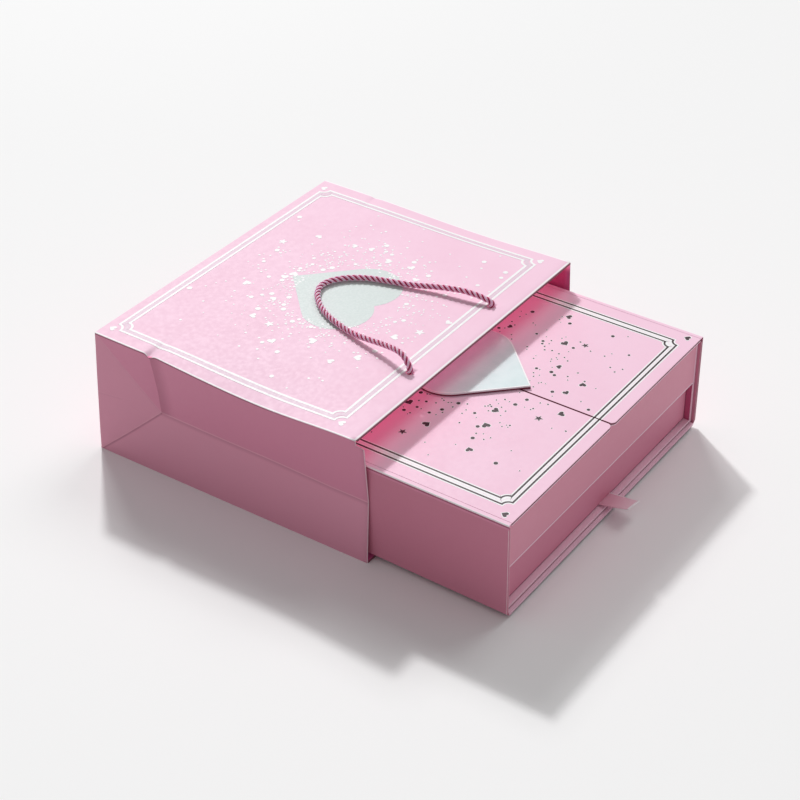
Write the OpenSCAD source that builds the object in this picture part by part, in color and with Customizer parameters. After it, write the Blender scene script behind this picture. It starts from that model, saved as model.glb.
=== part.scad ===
// Gift box with two lid doors, an open tray under them and a ribbon-pull drawer,
// half slid out of the folded paper carrier bag that it is sold in.
// Millimetres. +Z is up, and the doors' free end, the tray's front and the ribbon face -Y.
// The origin is on the table, midway between the ribbon's tip and the bag's closed end.

/* [Carrier bag] */
// Room for the box on each side, between the bag's outer edges
bag_side_room = 4; // [4:0.5:12]
// Room over the box, up to the front panel's outer face
bag_headroom = 17.9; // [16:0.1:40]
// How much longer than the box the bag is, from the gussets' mouth to the closed end
bag_end_room = 14; // [12:1:60]
// Thickness of the bag's laminated paper
paper_t = 0.4; // [0.3:0.05:0.5]
// How far the front panel's mouth edge stands behind the gussets'
panel_setback = 5.5; // [4:0.5:12]
// How far below the front panel the left gusset steps forward to the mouth
corner_drop = 3; // [1:0.5:6]
// How far that step falls on its way to the mouth
corner_fall = 0.8; // [0:0.1:2]
// How far the closed end's lower edge leans out
end_lean = 3.5; // [0:0.5:8]
// How far each gusset spreads at the closed end's lower corner
base_flare = 4; // [0:0.5:8]
// How far the gusset's centre crease is pushed in
crease_push = 3; // [1:0.25:3.2]
// Distance from the closed end to the point of the gusset's folded triangle
fold_l = 45; // [30:1:60]
// How far the outer flap that is glued over the closed end reaches up
end_flap_l = 52; // [30:1:58]
// Depth of the hem that is turned in round the mouth
hem_l = 32; // [24:1:45]
// Thickness of the card strips inside the hems
hem_card_t = 0.5; // [0.4:0.1:0.8]
// How far the hems and their cards stop short of the gussets
hem_side_gap = 1.5; // [1.5:0.25:3]
// Thickness of the loose card at the closed end
end_card_t = 1; // [0.8:0.1:1.6]

/* [Rope handle] */
// Diameter of the twisted rope
rope_d = 4; // [3.5:0.25:4.25]
// Distance between the rope's two holes
rope_span = 86; // [80:1:100]
// Distance from a panel's mouth edge to its holes
rope_inset = 14; // [9:0.5:18]
// Gap round the rope in its holes
rope_gap = 0.5; // [0.3:0.1:1]
// Height of the rope's first bend above the panel, which is the line that the handle swings about
rope_bend_h = 2.6; // [2.6:0.1:3.5]
// Diameter of the knots behind the hem
knot_d = 8; // [7:0.25:8.5]

/* [Box cover] */
// Overall width of the box
box_w = 220; // [206:1:250]
// Overall length of the box
box_l = 186; // [170:1:220]
// Overall height of the box
box_h = 65.5; // [58:0.5:80]
// Thickness of the cover's wrapped boards
board_t = 2; // [1.6:0.1:2.4]
// Size of the paper corners between the cover's boards
corner_r = 3; // [2.5:0.1:4]
// Thickness of the paper corners
hinge_t = 0.5; // [0.3:0.05:0.7]
// Outer radius of the fold along the box's two top edges
top_fold_r = 0.8; // [0.8:0.1:1.5]
// Radius of the doors' free corners, where they meet at the seam
door_corner_r = 3.5; // [2:0.5:6]
// Thickness of the printed wrap on the doors
wrap_t = 0.4; // [0.2:0.05:0.5]
// Gap between the two doors
seam_gap = 0.8; // [0.6:0.1:1.6]
// Gap between a door and the paper corner that it turns on
door_gap = 0.3; // [0.25:0.05:0.6]
// How far the box stands out of the bag, from the gussets' mouth
pulled_out = 91; // [80:1:110]
// Gap between the box and the back hem that it slides on
slide_gap = 0.3; // [0.25:0.05:0.6]

/* [Heart plaque] */
// Width of the heart
plaque_w = 74; // [60:1:76]
// Length of the heart, from its point to the top of its lobes
plaque_l = 69; // [56:1:80]
// Depth of the notch between the lobes
plaque_notch = 6; // [4:0.5:10]
// Thickness of the heart
plaque_t = 2.2; // [1.8:0.1:2.6]
// How far the heart's middle stands to the right of the seam
plaque_x = 4; // [2:0.5:6]
// Distance from the box's front edge to the heart's point
plaque_y = 57.5; // [40:0.5:70]
// Gap between the heart and the door that it closes over
plaque_gap = 0.3; // [0.25:0.05:0.5]
// Diameter of the magnet and of the steel disc under it
magnet_d = 8; // [6:0.5:10]
// Thickness of the magnet and of the steel disc
magnet_t = 1; // [0.6:0.1:1.1]
// Distance from the seam to the magnet
magnet_x = 14; // [10:0.5:18]

/* [Inner frame] */
// Thickness of the frame's boards
frame_t = 2; // [1.6:0.1:2.4]
// How far the frame stands behind the cover's front and rear edges
frame_setback = 2; // [1:0.25:4]
// Gap between the frame's walls and the cover's side boards
frame_gap = 0.3; // [0.1:0.05:0.6]
// Gap between the frame's walls and the closed doors
door_rest = 0.3; // [0.25:0.05:0.6]
// Height of the drawer's opening
bay_h = 28.4; // [24:0.2:32]

/* [Drawer] */
// Thickness of the drawer's boards
drawer_t = 2; // [1.6:0.1:2.4]
// How far the drawer's front stands behind the cover's front edge
drawer_setback = 6; // [5:0.25:9]
// Room behind the drawer when it is shut
drawer_rear_room = 4; // [1:0.5:12]
// Gap on each side of the drawer
drawer_play = 0.5; // [0.4:0.05:1]
// Gap under the drawer
drawer_lift = 0.3; // [0.25:0.05:0.5]
// Gap over the drawer
drawer_headroom = 0.5; // [0.4:0.05:1]
// How far the bottom board is raised to leave room for the ribbon's tail
bottom_raise = 0.8; // [0.8:0.05:1.5]

/* [Ribbon pull] */
// Width of the ribbon
ribbon_w = 13.5; // [10:0.5:20]
// Thickness of the ribbon
ribbon_t = 0.5; // [0.3:0.05:0.6]
// How far the ribbon's middle stands to the right of the seam
ribbon_x = 6.5; // [-20:0.5:20]
// How far the ribbon reaches past the cover's front edge
ribbon_out = 14; // [8:0.5:30]
// How far the ribbon's tip rises
ribbon_rise = 4; // [0:0.25:6]
// Length of the tail that is glued under the drawer's bottom
ribbon_tail = 60; // [30:1:100]
// Gap on each side of the ribbon in its notch
notch_gap = 0.5; // [0.3:0.1:1]

/* [Hidden] */
$fn = 64;

paper_pink = [0.96, 0.80, 0.88];
paper_pale = [0.97, 0.89, 0.93];
board_pink = [0.91, 0.70, 0.80];
card_grey = [0.72, 0.70, 0.68];
rope_pink = [0.86, 0.52, 0.64];
plaque_mint = [0.86, 0.94, 0.93];
steel = [0.75, 0.76, 0.78];
ribbon_cream = [0.98, 0.93, 0.95];

// The bag's outer size, from the box that it is made for
hem_stack = 2 * paper_t + hem_card_t;
box_z = hem_stack + slide_gap;
top_z = box_z + box_h;
bag_w = box_w + 2 * bag_side_room;
bag_d = top_z + bag_headroom;
bag_l = box_l + bag_end_room;

// Places along the object, from the ribbon's tip to the closed end's lower edge
total_l = ribbon_out + pulled_out + bag_l + end_lean + paper_t;
tip_y = -total_l / 2;
box_y = tip_y + ribbon_out;
mouth_y = box_y + pulled_out;
end_y = mouth_y + bag_l;
panel_y = mouth_y + panel_setback;

// The bag's paper: inner faces, the creases' height and the hems
under_top = bag_d - paper_t;
crease_z = bag_d / 2;
hem_half_w = bag_w / 2 - hem_side_gap;
panel_edge_y = panel_y + hem_stack / 2;
mouth_edge_y = mouth_y + hem_stack / 2;
card_l = hem_l - paper_t;
end_card_margin = 2;
hole_y = panel_y + rope_inset;
back_hole_y = mouth_y + rope_inset;
hole_r = rope_d / 2 + rope_gap;
cut = 1;

// The box's levels
rear_y = box_y + box_l;
fold_x = box_w / 2 - corner_r;
floor_z = box_z + board_t;
bay_z = floor_z + frame_t;
shelf_z = bay_z + bay_h;
wall_top_z = top_z - board_t - door_rest;
frame_x = box_w / 2 - board_t - frame_gap;
bay_x = frame_x - frame_t;
frame_y = box_y + frame_setback;
frame_rear_y = rear_y - frame_setback;
door_z = top_z - board_t;
wrap_z = top_z - wrap_t;
magnet_y = box_y + plaque_y + plaque_l * 0.55;
magnet_play = 0.05;

// The drawer's levels
drawer_y = box_y + drawer_setback;
drawer_rear_y = frame_rear_y - frame_t - drawer_rear_room;
drawer_x = bay_x - drawer_play;
drawer_z = bay_z + drawer_lift;
drawer_top_z = shelf_z - drawer_headroom;
bottom_z = drawer_z + bottom_raise;
ribbon_z = bottom_z - ribbon_t;

// The rope's route, from the left hole round to the right one: across the bag, from the line of
// the holes towards the closed end, and above the front panel. The loop lies on the panel.
rope_route = [
    [-43, 0, 2.6], [-42.6, 2, 6], [-41, 6.3, 8.6], [-39, 12.6, 8.9], [-36.5, 22, 7.2],
    [-34.5, 33, 5.2], [-33, 43, 3.6], [-31, 52, 2.6], [-28.3, 61.5, 2.3], [-24.6, 72, 2.3],
    [-19.2, 82, 2.3], [-12, 90.5, 2.3], [-4.5, 96, 2.3], [2.7, 98, 2.3], [9.5, 96, 2.3],
    [16.4, 91, 2.3], [22, 83.5, 2.3], [26, 75, 2.3], [28.8, 65.5, 2.3], [31.5, 56, 2.4],
    [34.5, 46.5, 2.9], [37.5, 37, 3.8], [39.5, 28, 4.7], [41, 20, 5.2], [42, 12, 5],
    [42.7, 6, 4.2], [43, 0, 2.6]
];
rope_sides = 8;
rope_r = rope_d / 2;
// Rings that round off the rope's two ends: distance past the end and width, in rope radii
rope_dome = [[0.92, 0.4], [0.6, 0.8]];

function unit(v) = v / norm(v);
function heading(p, i) = unit(p[min(i + 1, len(p) - 1)] - p[max(i - 1, 0)]);
function carried(p, i, side) =
    let (t = heading(p, i), now = unit(side - (side * t) * t))
    i == len(p) - 1 ? [now] : concat([now], carried(p, i + 1, now));
function path_length(p, i = 0) =
    i == len(p) - 1 ? 0 : norm(p[i + 1] - p[i]) + path_length(p, i + 1);
function ring(centre, t, side, r) = [
    for (k = [0 : rope_sides - 1])
        let (a = 360 * k / rope_sides)
        centre + r * (cos(a) * side + sin(a) * cross(t, side))
];

// The closed end's outer face and its half width, at a height
function end_at(z) = end_y + end_lean * (1 - z / bag_d);
function end_half_w(z) = bag_w / 2 + base_flare * (under_top - z) / (under_top - paper_t);
// How far a gusset is pushed in at a height
function pushed_in(z) =
    let (far = z > crease_z ? under_top : paper_t)
    crease_push * (far - z) / (far - crease_z);

echo(rope_loop_length = path_length(rope_route));

// A closed tube along points, with rounded ends
module rope_tube(p) {
    last = len(p) - 1;
    sides = carried(p, 0, [1, 0, 0]);
    first_t = heading(p, 0);
    last_t = heading(p, last);
    start = [for (d = rope_dome) ring(p[0] - d[0] * rope_r * first_t, first_t, sides[0], d[1] * rope_r)];
    middle = [for (i = [0 : last]) ring(p[i], heading(p, i), sides[i], rope_r)];
    end = [
        for (i = [len(rope_dome) - 1 : -1 : 0])
            ring(p[last] + rope_dome[i][0] * rope_r * last_t, last_t, sides[last], rope_dome[i][1] * rope_r)
    ];
    rings = concat(start, middle, end);
    n = rope_sides;
    walls = [
        for (i = [0 : len(rings) - 2], k = [0 : n - 1])
            let (a = i * n + k, b = i * n + (k + 1) % n)
            each [[a, a + n, b + n], [a, b + n, b]]
    ];
    caps = [
        [for (k = [0 : n - 1]) k],
        [for (k = [n - 1 : -1 : 0]) (len(rings) - 1) * n + k]
    ];
    polyhedron(points = [for (r = rings) each r], faces = concat(walls, caps), convexity = 6);
}

// A board between two opposite corners
module board(low, high) {
    translate(low)
        cube(high - low);
}

module rope_holes(y, z) {
    for (side = [-1, 1])
        translate([side * rope_span / 2, y, z - cut])
            cylinder(r = hole_r, h = hem_stack + 2 * cut);
}

// A panel's mouth edge, lying outside down with its edge at y = 0: rolled over, with a slot for the card
module hem(y) {
    fold_r = hem_stack / 2;
    translate([-hem_half_w, y, 0])
        rotate([90, 0, 90])
            linear_extrude(2 * hem_half_w)
                difference() {
                    union() {
                        translate([fold_r, 0])
                            square([hem_l - fold_r, hem_stack]);
                        translate([fold_r, fold_r])
                            circle(fold_r);
                    }
                    translate([paper_t, paper_t])
                        square([hem_l, hem_card_t]);
                }
}

module hem_card(y) {
    difference() {
        board([-hem_half_w, y + paper_t, paper_t], [hem_half_w, y + paper_t + card_l, paper_t + hem_card_t]);
        rope_holes(y + rope_inset, 0);
    }
}

module turned_in() {
    translate([0, 0, bag_d])
        mirror([0, 0, 1])
            children();
}

module bag_front_panel() {
    color(paper_pink)
        turned_in()
            difference() {
                union() {
                    board([-bag_w / 2, panel_edge_y, 0], [bag_w / 2, end_y, paper_t]);
                    hem(panel_y);
                }
                rope_holes(hole_y, 0);
            }
}

module bag_back_panel() {
    y1 = end_at(paper_t);
    color(paper_pale)
        difference() {
            union() {
                linear_extrude(paper_t)
                    polygon([
                        [-bag_w / 2, mouth_edge_y], [bag_w / 2, mouth_edge_y],
                        [end_half_w(paper_t), y1], [-end_half_w(paper_t), y1]
                    ]);
                hem(mouth_y);
            }
            rope_holes(back_hole_y, 0);
        }
}

// The left gusset: two long halves that meet in the pushed-in crease, and the folded triangle.
// Its mouth edge is given from the front panel down, as places along the bag and heights.
module gusset(mouth_edge) {
    rim = concat(
        [for (p = mouth_edge) [pushed_in(p[1]) - bag_w / 2, p[0], p[1]]],
        [for (z = [paper_t, under_top]) [-end_half_w(z), end_at(z) - paper_t, z]]
    );
    last = len(rim);
    outside = concat(rim, [[pushed_in(crease_z) - bag_w / 2, end_y - fold_l, crease_z]]);
    inside = [for (p = outside) p + [paper_t, 0, 0]];
    n = len(outside);
    skin = [for (i = [0 : last - 1]) [i, (i + 1) % last, last]];
    edges = [
        for (i = [0 : last - 1])
            let (a = i, b = (i + 1) % last)
            each [[b, a, a + n], [b, a + n, b + n]]
    ];
    polyhedron(
        points = concat(outside, inside),
        faces = concat(skin, [for (f = skin) [f[2] + n, f[1] + n, f[0] + n]], edges),
        convexity = 4
    );
}

module bag_left_gusset() {
    step_z = under_top - corner_drop;
    color(paper_pink)
        gusset([
            [panel_edge_y, under_top], [panel_edge_y, step_z], [mouth_edge_y, step_z - corner_fall],
            [mouth_edge_y, crease_z], [mouth_edge_y, paper_t]
        ]);
}

// The right gusset's mouth edge runs straight from the front panel's corner to the back one's
module bag_right_gusset() {
    color(paper_pink)
        mirror([1, 0, 0])
            gusset([
                [panel_edge_y, under_top], [(panel_edge_y + mouth_edge_y) / 2, crease_z],
                [mouth_edge_y, paper_t]
            ]);
}

// A plate that leans with the closed end: its outer face stands back from the end's by an inset
module leaning_plate(inset, thickness, low, high, low_half_w, high_half_w) {
    corners = [
        for (y = [inset + thickness, inset])
            each [
                [-low_half_w, end_at(low) - y, low],
                [low_half_w, end_at(low) - y, low],
                [high_half_w, end_at(high) - y, high],
                [-high_half_w, end_at(high) - y, high]
            ]
    ];
    polyhedron(
        points = corners,
        faces = [[3, 2, 1, 0], [4, 5, 6, 7], [0, 1, 5, 4], [1, 2, 6, 5], [2, 3, 7, 6], [3, 0, 4, 7]]
    );
}

// The closed end: its sheet, and the flap glued over it, whose sides are folded at 45 degrees
module bag_end_panel() {
    color(paper_pink) {
        leaning_plate(0, paper_t, paper_t, under_top, end_half_w(paper_t), end_half_w(under_top));
        leaning_plate(
            -paper_t, paper_t, paper_t, paper_t + end_flap_l,
            end_half_w(paper_t), end_half_w(paper_t) - end_flap_l
        );
    }
}

module bag_end_card() {
    half_w = bag_w / 2 - end_card_margin;
    color(card_grey)
        leaning_plate(paper_t, end_card_t, end_card_margin, bag_d - end_card_margin, half_w, half_w);
}

module front_hem_card() {
    color(card_grey)
        turned_in()
            hem_card(panel_y);
}

module back_hem_card() {
    color(card_grey)
        hem_card(mouth_y);
}

module handle_rope() {
    color(rope_pink)
        translate([0, hole_y, bag_d])
            rope_tube(rope_route);
}

// Each end of the rope goes down through its hole to a knot that bears on the hem
module rope_knots() {
    seat_r = knot_d / 2;
    seat_depth = sqrt(seat_r * seat_r - hole_r * hole_r) + 0.1;
    knot_z = bag_d - hem_stack - seat_depth;
    stub_top = bag_d + rope_bend_h - rope_r - 0.3;
    color(rope_pink)
        for (side = [-1, 1])
            translate([side * rope_span / 2, hole_y, knot_z]) {
                sphere(d = knot_d);
                cylinder(r = rope_r, h = stub_top - knot_z);
            }
}

module cover_base_board() {
    color(board_pink)
        board([-fold_x, box_y, box_z], [fold_x, rear_y, box_z + board_t]);
}

module side_board() {
    board(
        [box_w / 2 - board_t, box_y, box_z + corner_r],
        [box_w / 2, rear_y, top_z - corner_r]
    );
}

module cover_left_board() {
    color(board_pink)
        mirror([1, 0, 0])
            side_board();
}

module cover_right_board() {
    color(board_pink)
        side_board();
}

// The cover's paper alone, running along the box between two boards
module paper_corner() {
    translate([fold_x, rear_y, 0])
        rotate([90, 0, 0])
            linear_extrude(box_l)
                children();
}

module base_hinge() {
    rise = hinge_t * sqrt(2);
    paper_corner()
        translate([0, box_z])
            polygon([[0, 0], [corner_r, corner_r], [corner_r - rise, corner_r], [0, rise]]);
}

// A square with its outer corner rounded
module rounded_corner(size, r) {
    square([size, size - r]);
    square([size - r, size]);
    translate([size - r, size - r])
        circle(r);
}

module door_hinge() {
    paper_corner()
        translate([0, top_z - corner_r])
            difference() {
                rounded_corner(corner_r, top_fold_r);
                rounded_corner(corner_r - hinge_t, top_fold_r - hinge_t);
            }
}

module left_base_hinge() {
    color(paper_pale)
        mirror([1, 0, 0])
            base_hinge();
}

module right_base_hinge() {
    color(paper_pale)
        base_hinge();
}

module left_door_hinge() {
    color(paper_pale)
        mirror([1, 0, 0])
            door_hinge();
}

module right_door_hinge() {
    color(paper_pale)
        door_hinge();
}

// A slice of the right door between two heights, with its free corners at the seam rounded
module door_layer(low, high) {
    r = door_corner_r;
    translate([seam_gap / 2, box_y, low])
        linear_extrude(high - low) {
            translate([r, 0])
                square([fold_x - door_gap - seam_gap / 2 - r, box_l]);
            translate([0, r])
                square([2 * r, box_l - 2 * r]);
            for (y = [r, box_l - r])
                translate([r, y])
                    circle(r);
        }
}

module left_door_board() {
    color(card_grey)
        difference() {
            mirror([1, 0, 0])
                door_layer(door_z, wrap_z);
            translate([-magnet_x, magnet_y, wrap_z - magnet_t])
                cylinder(d = magnet_d + 2 * magnet_play, h = magnet_t + cut);
        }
}

module left_door_wrap() {
    color(paper_pink)
        mirror([1, 0, 0])
            door_layer(wrap_z, top_z);
}

module right_door_board() {
    color(card_grey)
        door_layer(door_z, wrap_z);
}

module right_door_wrap() {
    color(paper_pink)
        door_layer(wrap_z, top_z);
}

// A heart with its point at the origin and its lobes towards +Y, from two circles and their tangents
module heart(w, l, notch) {
    half = w / 2;
    // the lobes' radius comes from the notch, where the two circles cross
    lobe_r = half + notch - sqrt(2 * half * notch);
    c = half - lobe_r;
    h = l - lobe_r;
    reach = sqrt(c * c + h * h);
    side = sqrt(reach * reach - lobe_r * lobe_r);
    a = atan2(h, c) - asin(lobe_r / reach);
    for (x = [-c, c])
        translate([x, h])
            circle(lobe_r);
    polygon([
        [0, 0], [side * cos(a), side * sin(a)], [c, h], [0, l - notch],
        [-c, h], [-side * cos(a), side * sin(a)]
    ]);
}

module heart_plaque() {
    color(plaque_mint)
        difference() {
            translate([plaque_x, box_y + plaque_y, top_z])
                linear_extrude(plaque_t)
                    heart(plaque_w, plaque_l, plaque_notch);
            board([-plaque_w, box_y, top_z - cut], [seam_gap / 2, rear_y, top_z + plaque_gap]);
            translate([-magnet_x, magnet_y, top_z])
                cylinder(d = magnet_d + 2 * magnet_play, h = plaque_gap + magnet_t);
        }
}

module plaque_magnet() {
    color(steel)
        translate([-magnet_x, magnet_y, top_z + plaque_gap])
            cylinder(d = magnet_d, h = magnet_t);
}

module door_keeper() {
    color(steel)
        translate([-magnet_x, magnet_y, wrap_z - magnet_t])
            cylinder(d = magnet_d, h = magnet_t);
}

module frame_floor() {
    color(paper_pale)
        board([-bay_x, frame_y, floor_z], [bay_x, frame_rear_y, bay_z]);
}

module frame_wall() {
    board([bay_x, frame_y, floor_z], [frame_x, frame_rear_y, wall_top_z]);
}

module frame_left_wall() {
    color(paper_pale)
        mirror([1, 0, 0])
            frame_wall();
}

module frame_right_wall() {
    color(paper_pale)
        frame_wall();
}

module frame_rear_wall() {
    color(paper_pale)
        board([-bay_x, frame_rear_y - frame_t, bay_z], [bay_x, frame_rear_y, wall_top_z]);
}

module tray_floor() {
    color(paper_pale)
        board([-bay_x, frame_y + frame_t, shelf_z], [bay_x, frame_rear_y - frame_t, shelf_z + frame_t]);
}

module tray_front_wall() {
    color(board_pink)
        board([-bay_x, frame_y, shelf_z], [bay_x, frame_y + frame_t, wall_top_z]);
}

module drawer_front() {
    color(board_pink)
        difference() {
            board([-drawer_x, drawer_y, drawer_z], [drawer_x, drawer_y + drawer_t, drawer_top_z]);
            board(
                [ribbon_x - ribbon_w / 2 - notch_gap, drawer_y - cut, drawer_z - cut],
                [ribbon_x + ribbon_w / 2 + notch_gap, drawer_y + drawer_t + cut, bottom_z]
            );
        }
}

module drawer_rear() {
    color(paper_pale)
        board([-drawer_x, drawer_rear_y - drawer_t, drawer_z], [drawer_x, drawer_rear_y, drawer_top_z]);
}

module drawer_side() {
    board(
        [drawer_x - drawer_t, drawer_y + drawer_t, drawer_z],
        [drawer_x, drawer_rear_y - drawer_t, drawer_top_z]
    );
}

module drawer_left_side() {
    color(paper_pale)
        mirror([1, 0, 0])
            drawer_side();
}

module drawer_right_side() {
    color(paper_pale)
        drawer_side();
}

module drawer_bottom() {
    color(paper_pale)
        board(
            [-drawer_x + drawer_t, drawer_y + drawer_t, bottom_z],
            [drawer_x - drawer_t, drawer_rear_y - drawer_t, bottom_z + drawer_t]
        );
}

// The ribbon's side view, from its tip in front of the drawer to the tail under the bottom board
module ribbon_pull() {
    tail_y = drawer_y + drawer_t + ribbon_tail;
    color(ribbon_cream)
        translate([ribbon_x - ribbon_w / 2, 0, 0])
            rotate([90, 0, 90])
                linear_extrude(ribbon_w)
                    polygon([
                        [tip_y, ribbon_z + ribbon_rise], [drawer_y, ribbon_z], [tail_y, ribbon_z],
                        [tail_y, bottom_z], [drawer_y, bottom_z], [tip_y, bottom_z + ribbon_rise]
                    ]);
}

bag_front_panel();
bag_back_panel();
bag_left_gusset();
bag_right_gusset();
bag_end_panel();
bag_end_card();
front_hem_card();
back_hem_card();
handle_rope();
rope_knots();
cover_base_board();
cover_left_board();
cover_right_board();
left_base_hinge();
right_base_hinge();
left_door_hinge();
right_door_hinge();
left_door_board();
left_door_wrap();
right_door_board();
right_door_wrap();
heart_plaque();
plaque_magnet();
door_keeper();
frame_floor();
frame_left_wall();
frame_right_wall();
frame_rear_wall();
tray_floor();
tray_front_wall();
drawer_front();
drawer_rear();
drawer_left_side();
drawer_right_side();
drawer_bottom();
ribbon_pull();
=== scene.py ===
import bmesh
import bpy
import math
import random

from mathutils import Matrix, Vector, noise
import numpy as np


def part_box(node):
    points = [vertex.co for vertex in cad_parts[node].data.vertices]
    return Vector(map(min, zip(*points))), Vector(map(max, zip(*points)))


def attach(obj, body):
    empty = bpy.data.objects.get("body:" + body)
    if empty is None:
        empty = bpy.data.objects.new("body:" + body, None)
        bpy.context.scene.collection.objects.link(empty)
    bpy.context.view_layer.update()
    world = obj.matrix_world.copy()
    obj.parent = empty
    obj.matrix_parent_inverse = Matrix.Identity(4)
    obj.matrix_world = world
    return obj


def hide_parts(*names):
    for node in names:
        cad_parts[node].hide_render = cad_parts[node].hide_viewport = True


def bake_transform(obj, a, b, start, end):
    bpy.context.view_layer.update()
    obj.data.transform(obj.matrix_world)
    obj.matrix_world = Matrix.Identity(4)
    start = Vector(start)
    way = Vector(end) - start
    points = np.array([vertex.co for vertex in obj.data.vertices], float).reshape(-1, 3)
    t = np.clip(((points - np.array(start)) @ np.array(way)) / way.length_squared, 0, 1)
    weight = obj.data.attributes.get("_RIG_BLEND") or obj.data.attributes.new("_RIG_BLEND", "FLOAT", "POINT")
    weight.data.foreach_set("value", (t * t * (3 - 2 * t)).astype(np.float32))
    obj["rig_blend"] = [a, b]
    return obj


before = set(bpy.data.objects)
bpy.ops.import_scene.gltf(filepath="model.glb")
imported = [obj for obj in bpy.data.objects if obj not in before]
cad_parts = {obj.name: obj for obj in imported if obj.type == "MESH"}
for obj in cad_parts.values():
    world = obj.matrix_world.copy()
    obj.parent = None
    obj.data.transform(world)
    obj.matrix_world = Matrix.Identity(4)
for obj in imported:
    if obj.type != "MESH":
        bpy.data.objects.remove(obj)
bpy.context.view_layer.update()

mm = 0.001

# the photograph's viewpoint
shot = {
    "target": Vector((-17.3, -3.85, 40.0)) * mm,
    "distance": 1091 * mm,
    "azimuth": -54.06,
    "elevation": 35.34,
    "roll": -1.05,
    "lens": 80.9,
}


def placeCamera():
    azimuth, elevation, roll = (math.radians(shot[k]) for k in ("azimuth", "elevation", "roll"))
    back = Vector((
        math.sin(azimuth) * math.cos(elevation),
        -math.cos(azimuth) * math.cos(elevation),
        math.sin(elevation),
    ))
    level = Vector((math.cos(azimuth), math.sin(azimuth), 0))
    upright = back.cross(level)
    right = math.cos(roll) * level + math.sin(roll) * upright
    up = math.cos(roll) * upright - math.sin(roll) * level
    lens = bpy.data.cameras.new("camera")
    lens.lens = shot["lens"]
    lens.sensor_width = 36
    lens.clip_start = 0.01
    camera = bpy.data.objects.new("camera", lens)
    bpy.context.scene.collection.objects.link(camera)
    camera.matrix_world = (
        Matrix.Translation(shot["target"] + back * shot["distance"])
        @ Matrix((right, up, back)).transposed().to_4x4()
    )
    bpy.context.scene.camera = camera


placeCamera()
print("camera placed")


class Wire:  # one output of a finish's nodes, ready for arithmetic
    def __init__(self, finish, socket):
        self.finish = finish
        self.socket = socket

    def __add__(self, other):
        return self.finish.reckon("ADD", self, other)

    def __sub__(self, other):
        return self.finish.reckon("SUBTRACT", self, other)

    def __rsub__(self, other):
        return self.finish.reckon("SUBTRACT", other, self)

    def __mul__(self, other):
        return self.finish.reckon("MULTIPLY", self, other)

    def __abs__(self):
        return self.finish.reckon("ABSOLUTE", self)

    __radd__ = __add__
    __rmul__ = __mul__


class Finish:
    def __init__(self, name, Specular_IOR_Level=0.3, **shine):
        shine["Specular_IOR_Level"] = Specular_IOR_Level
        self.material = bpy.data.materials.new(name)
        self.material.use_nodes = True
        self.nodes = self.material.node_tree.nodes
        self.links = self.material.node_tree.links
        self.shader = self.nodes["Principled BSDF"]
        for socket, value in shine.items():
            self.shader.inputs[socket.replace("_", " ")].default_value = value

    def node(self, kind, settings, values, output=0):
        made = self.nodes.new(kind)
        for key, value in settings.items():
            setattr(made, key, value)
        for key, value in values.items():
            self.feed(made.inputs[key], value)
        return Wire(self, made.outputs[output])

    def feed(self, socket, value):
        if isinstance(value, Wire):
            self.links.new(value.socket, socket)
        elif isinstance(value, tuple) and len(value) == 3 and socket.type == "RGBA":
            socket.default_value = (*value, 1)
        else:
            socket.default_value = value

    def reckon(self, operation, *values):
        return self.node("ShaderNodeMath", {"operation": operation}, dict(enumerate(values)))

    def lower(self, one, other):
        return self.reckon("MINIMUM", one, other)

    def higher(self, one, other):
        return self.reckon("MAXIMUM", one, other)

    def ramp(self, value, start, end, low=0.0, high=1.0):
        return self.node(
            "ShaderNodeMapRange",
            {"interpolation_type": "SMOOTHSTEP"},
            {"Value": value, "From Min": start, "From Max": end, "To Min": low, "To Max": high},
        )

    def mix(self, share, one, other):
        return self.node(
            "ShaderNodeMix", {"data_type": "RGBA"}, {0: share, 6: one, 7: other}, output=2
        )

    def place(self):
        return self.node("ShaderNodeTexCoord", {}, {}, output=3)

    def attribute(self, name, output="Fac"):
        return self.node("ShaderNodeAttribute", {"attribute_name": name}, {}, output=output)

    def parts(self, vector):
        split = self.nodes.new("ShaderNodeSeparateXYZ")
        self.feed(split.inputs[0], vector)
        return [Wire(self, socket) for socket in split.outputs]

    def stretched(self, vector, scale):
        return self.node(
            "ShaderNodeVectorMath", {"operation": "MULTIPLY"}, {0: vector, 1: scale}
        )

    def noise(self, vector, size, detail=2.0, roughness=0.5):
        return self.node(
            "ShaderNodeTexNoise",
            {},
            {"Vector": vector, "Scale": 1 / size, "Detail": detail, "Roughness": roughness},
        )

    def bump(self, height, depth, strength=1.0, under=None):
        values = {"Strength": strength, "Distance": depth, "Height": height}
        if under is not None:
            values["Normal"] = under
        return self.node("ShaderNodeBump", {}, values)

    def wear(self, **sockets):
        for socket, value in sockets.items():
            self.feed(self.shader.inputs[socket.replace("_", " ")], value)
        return self.material


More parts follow.
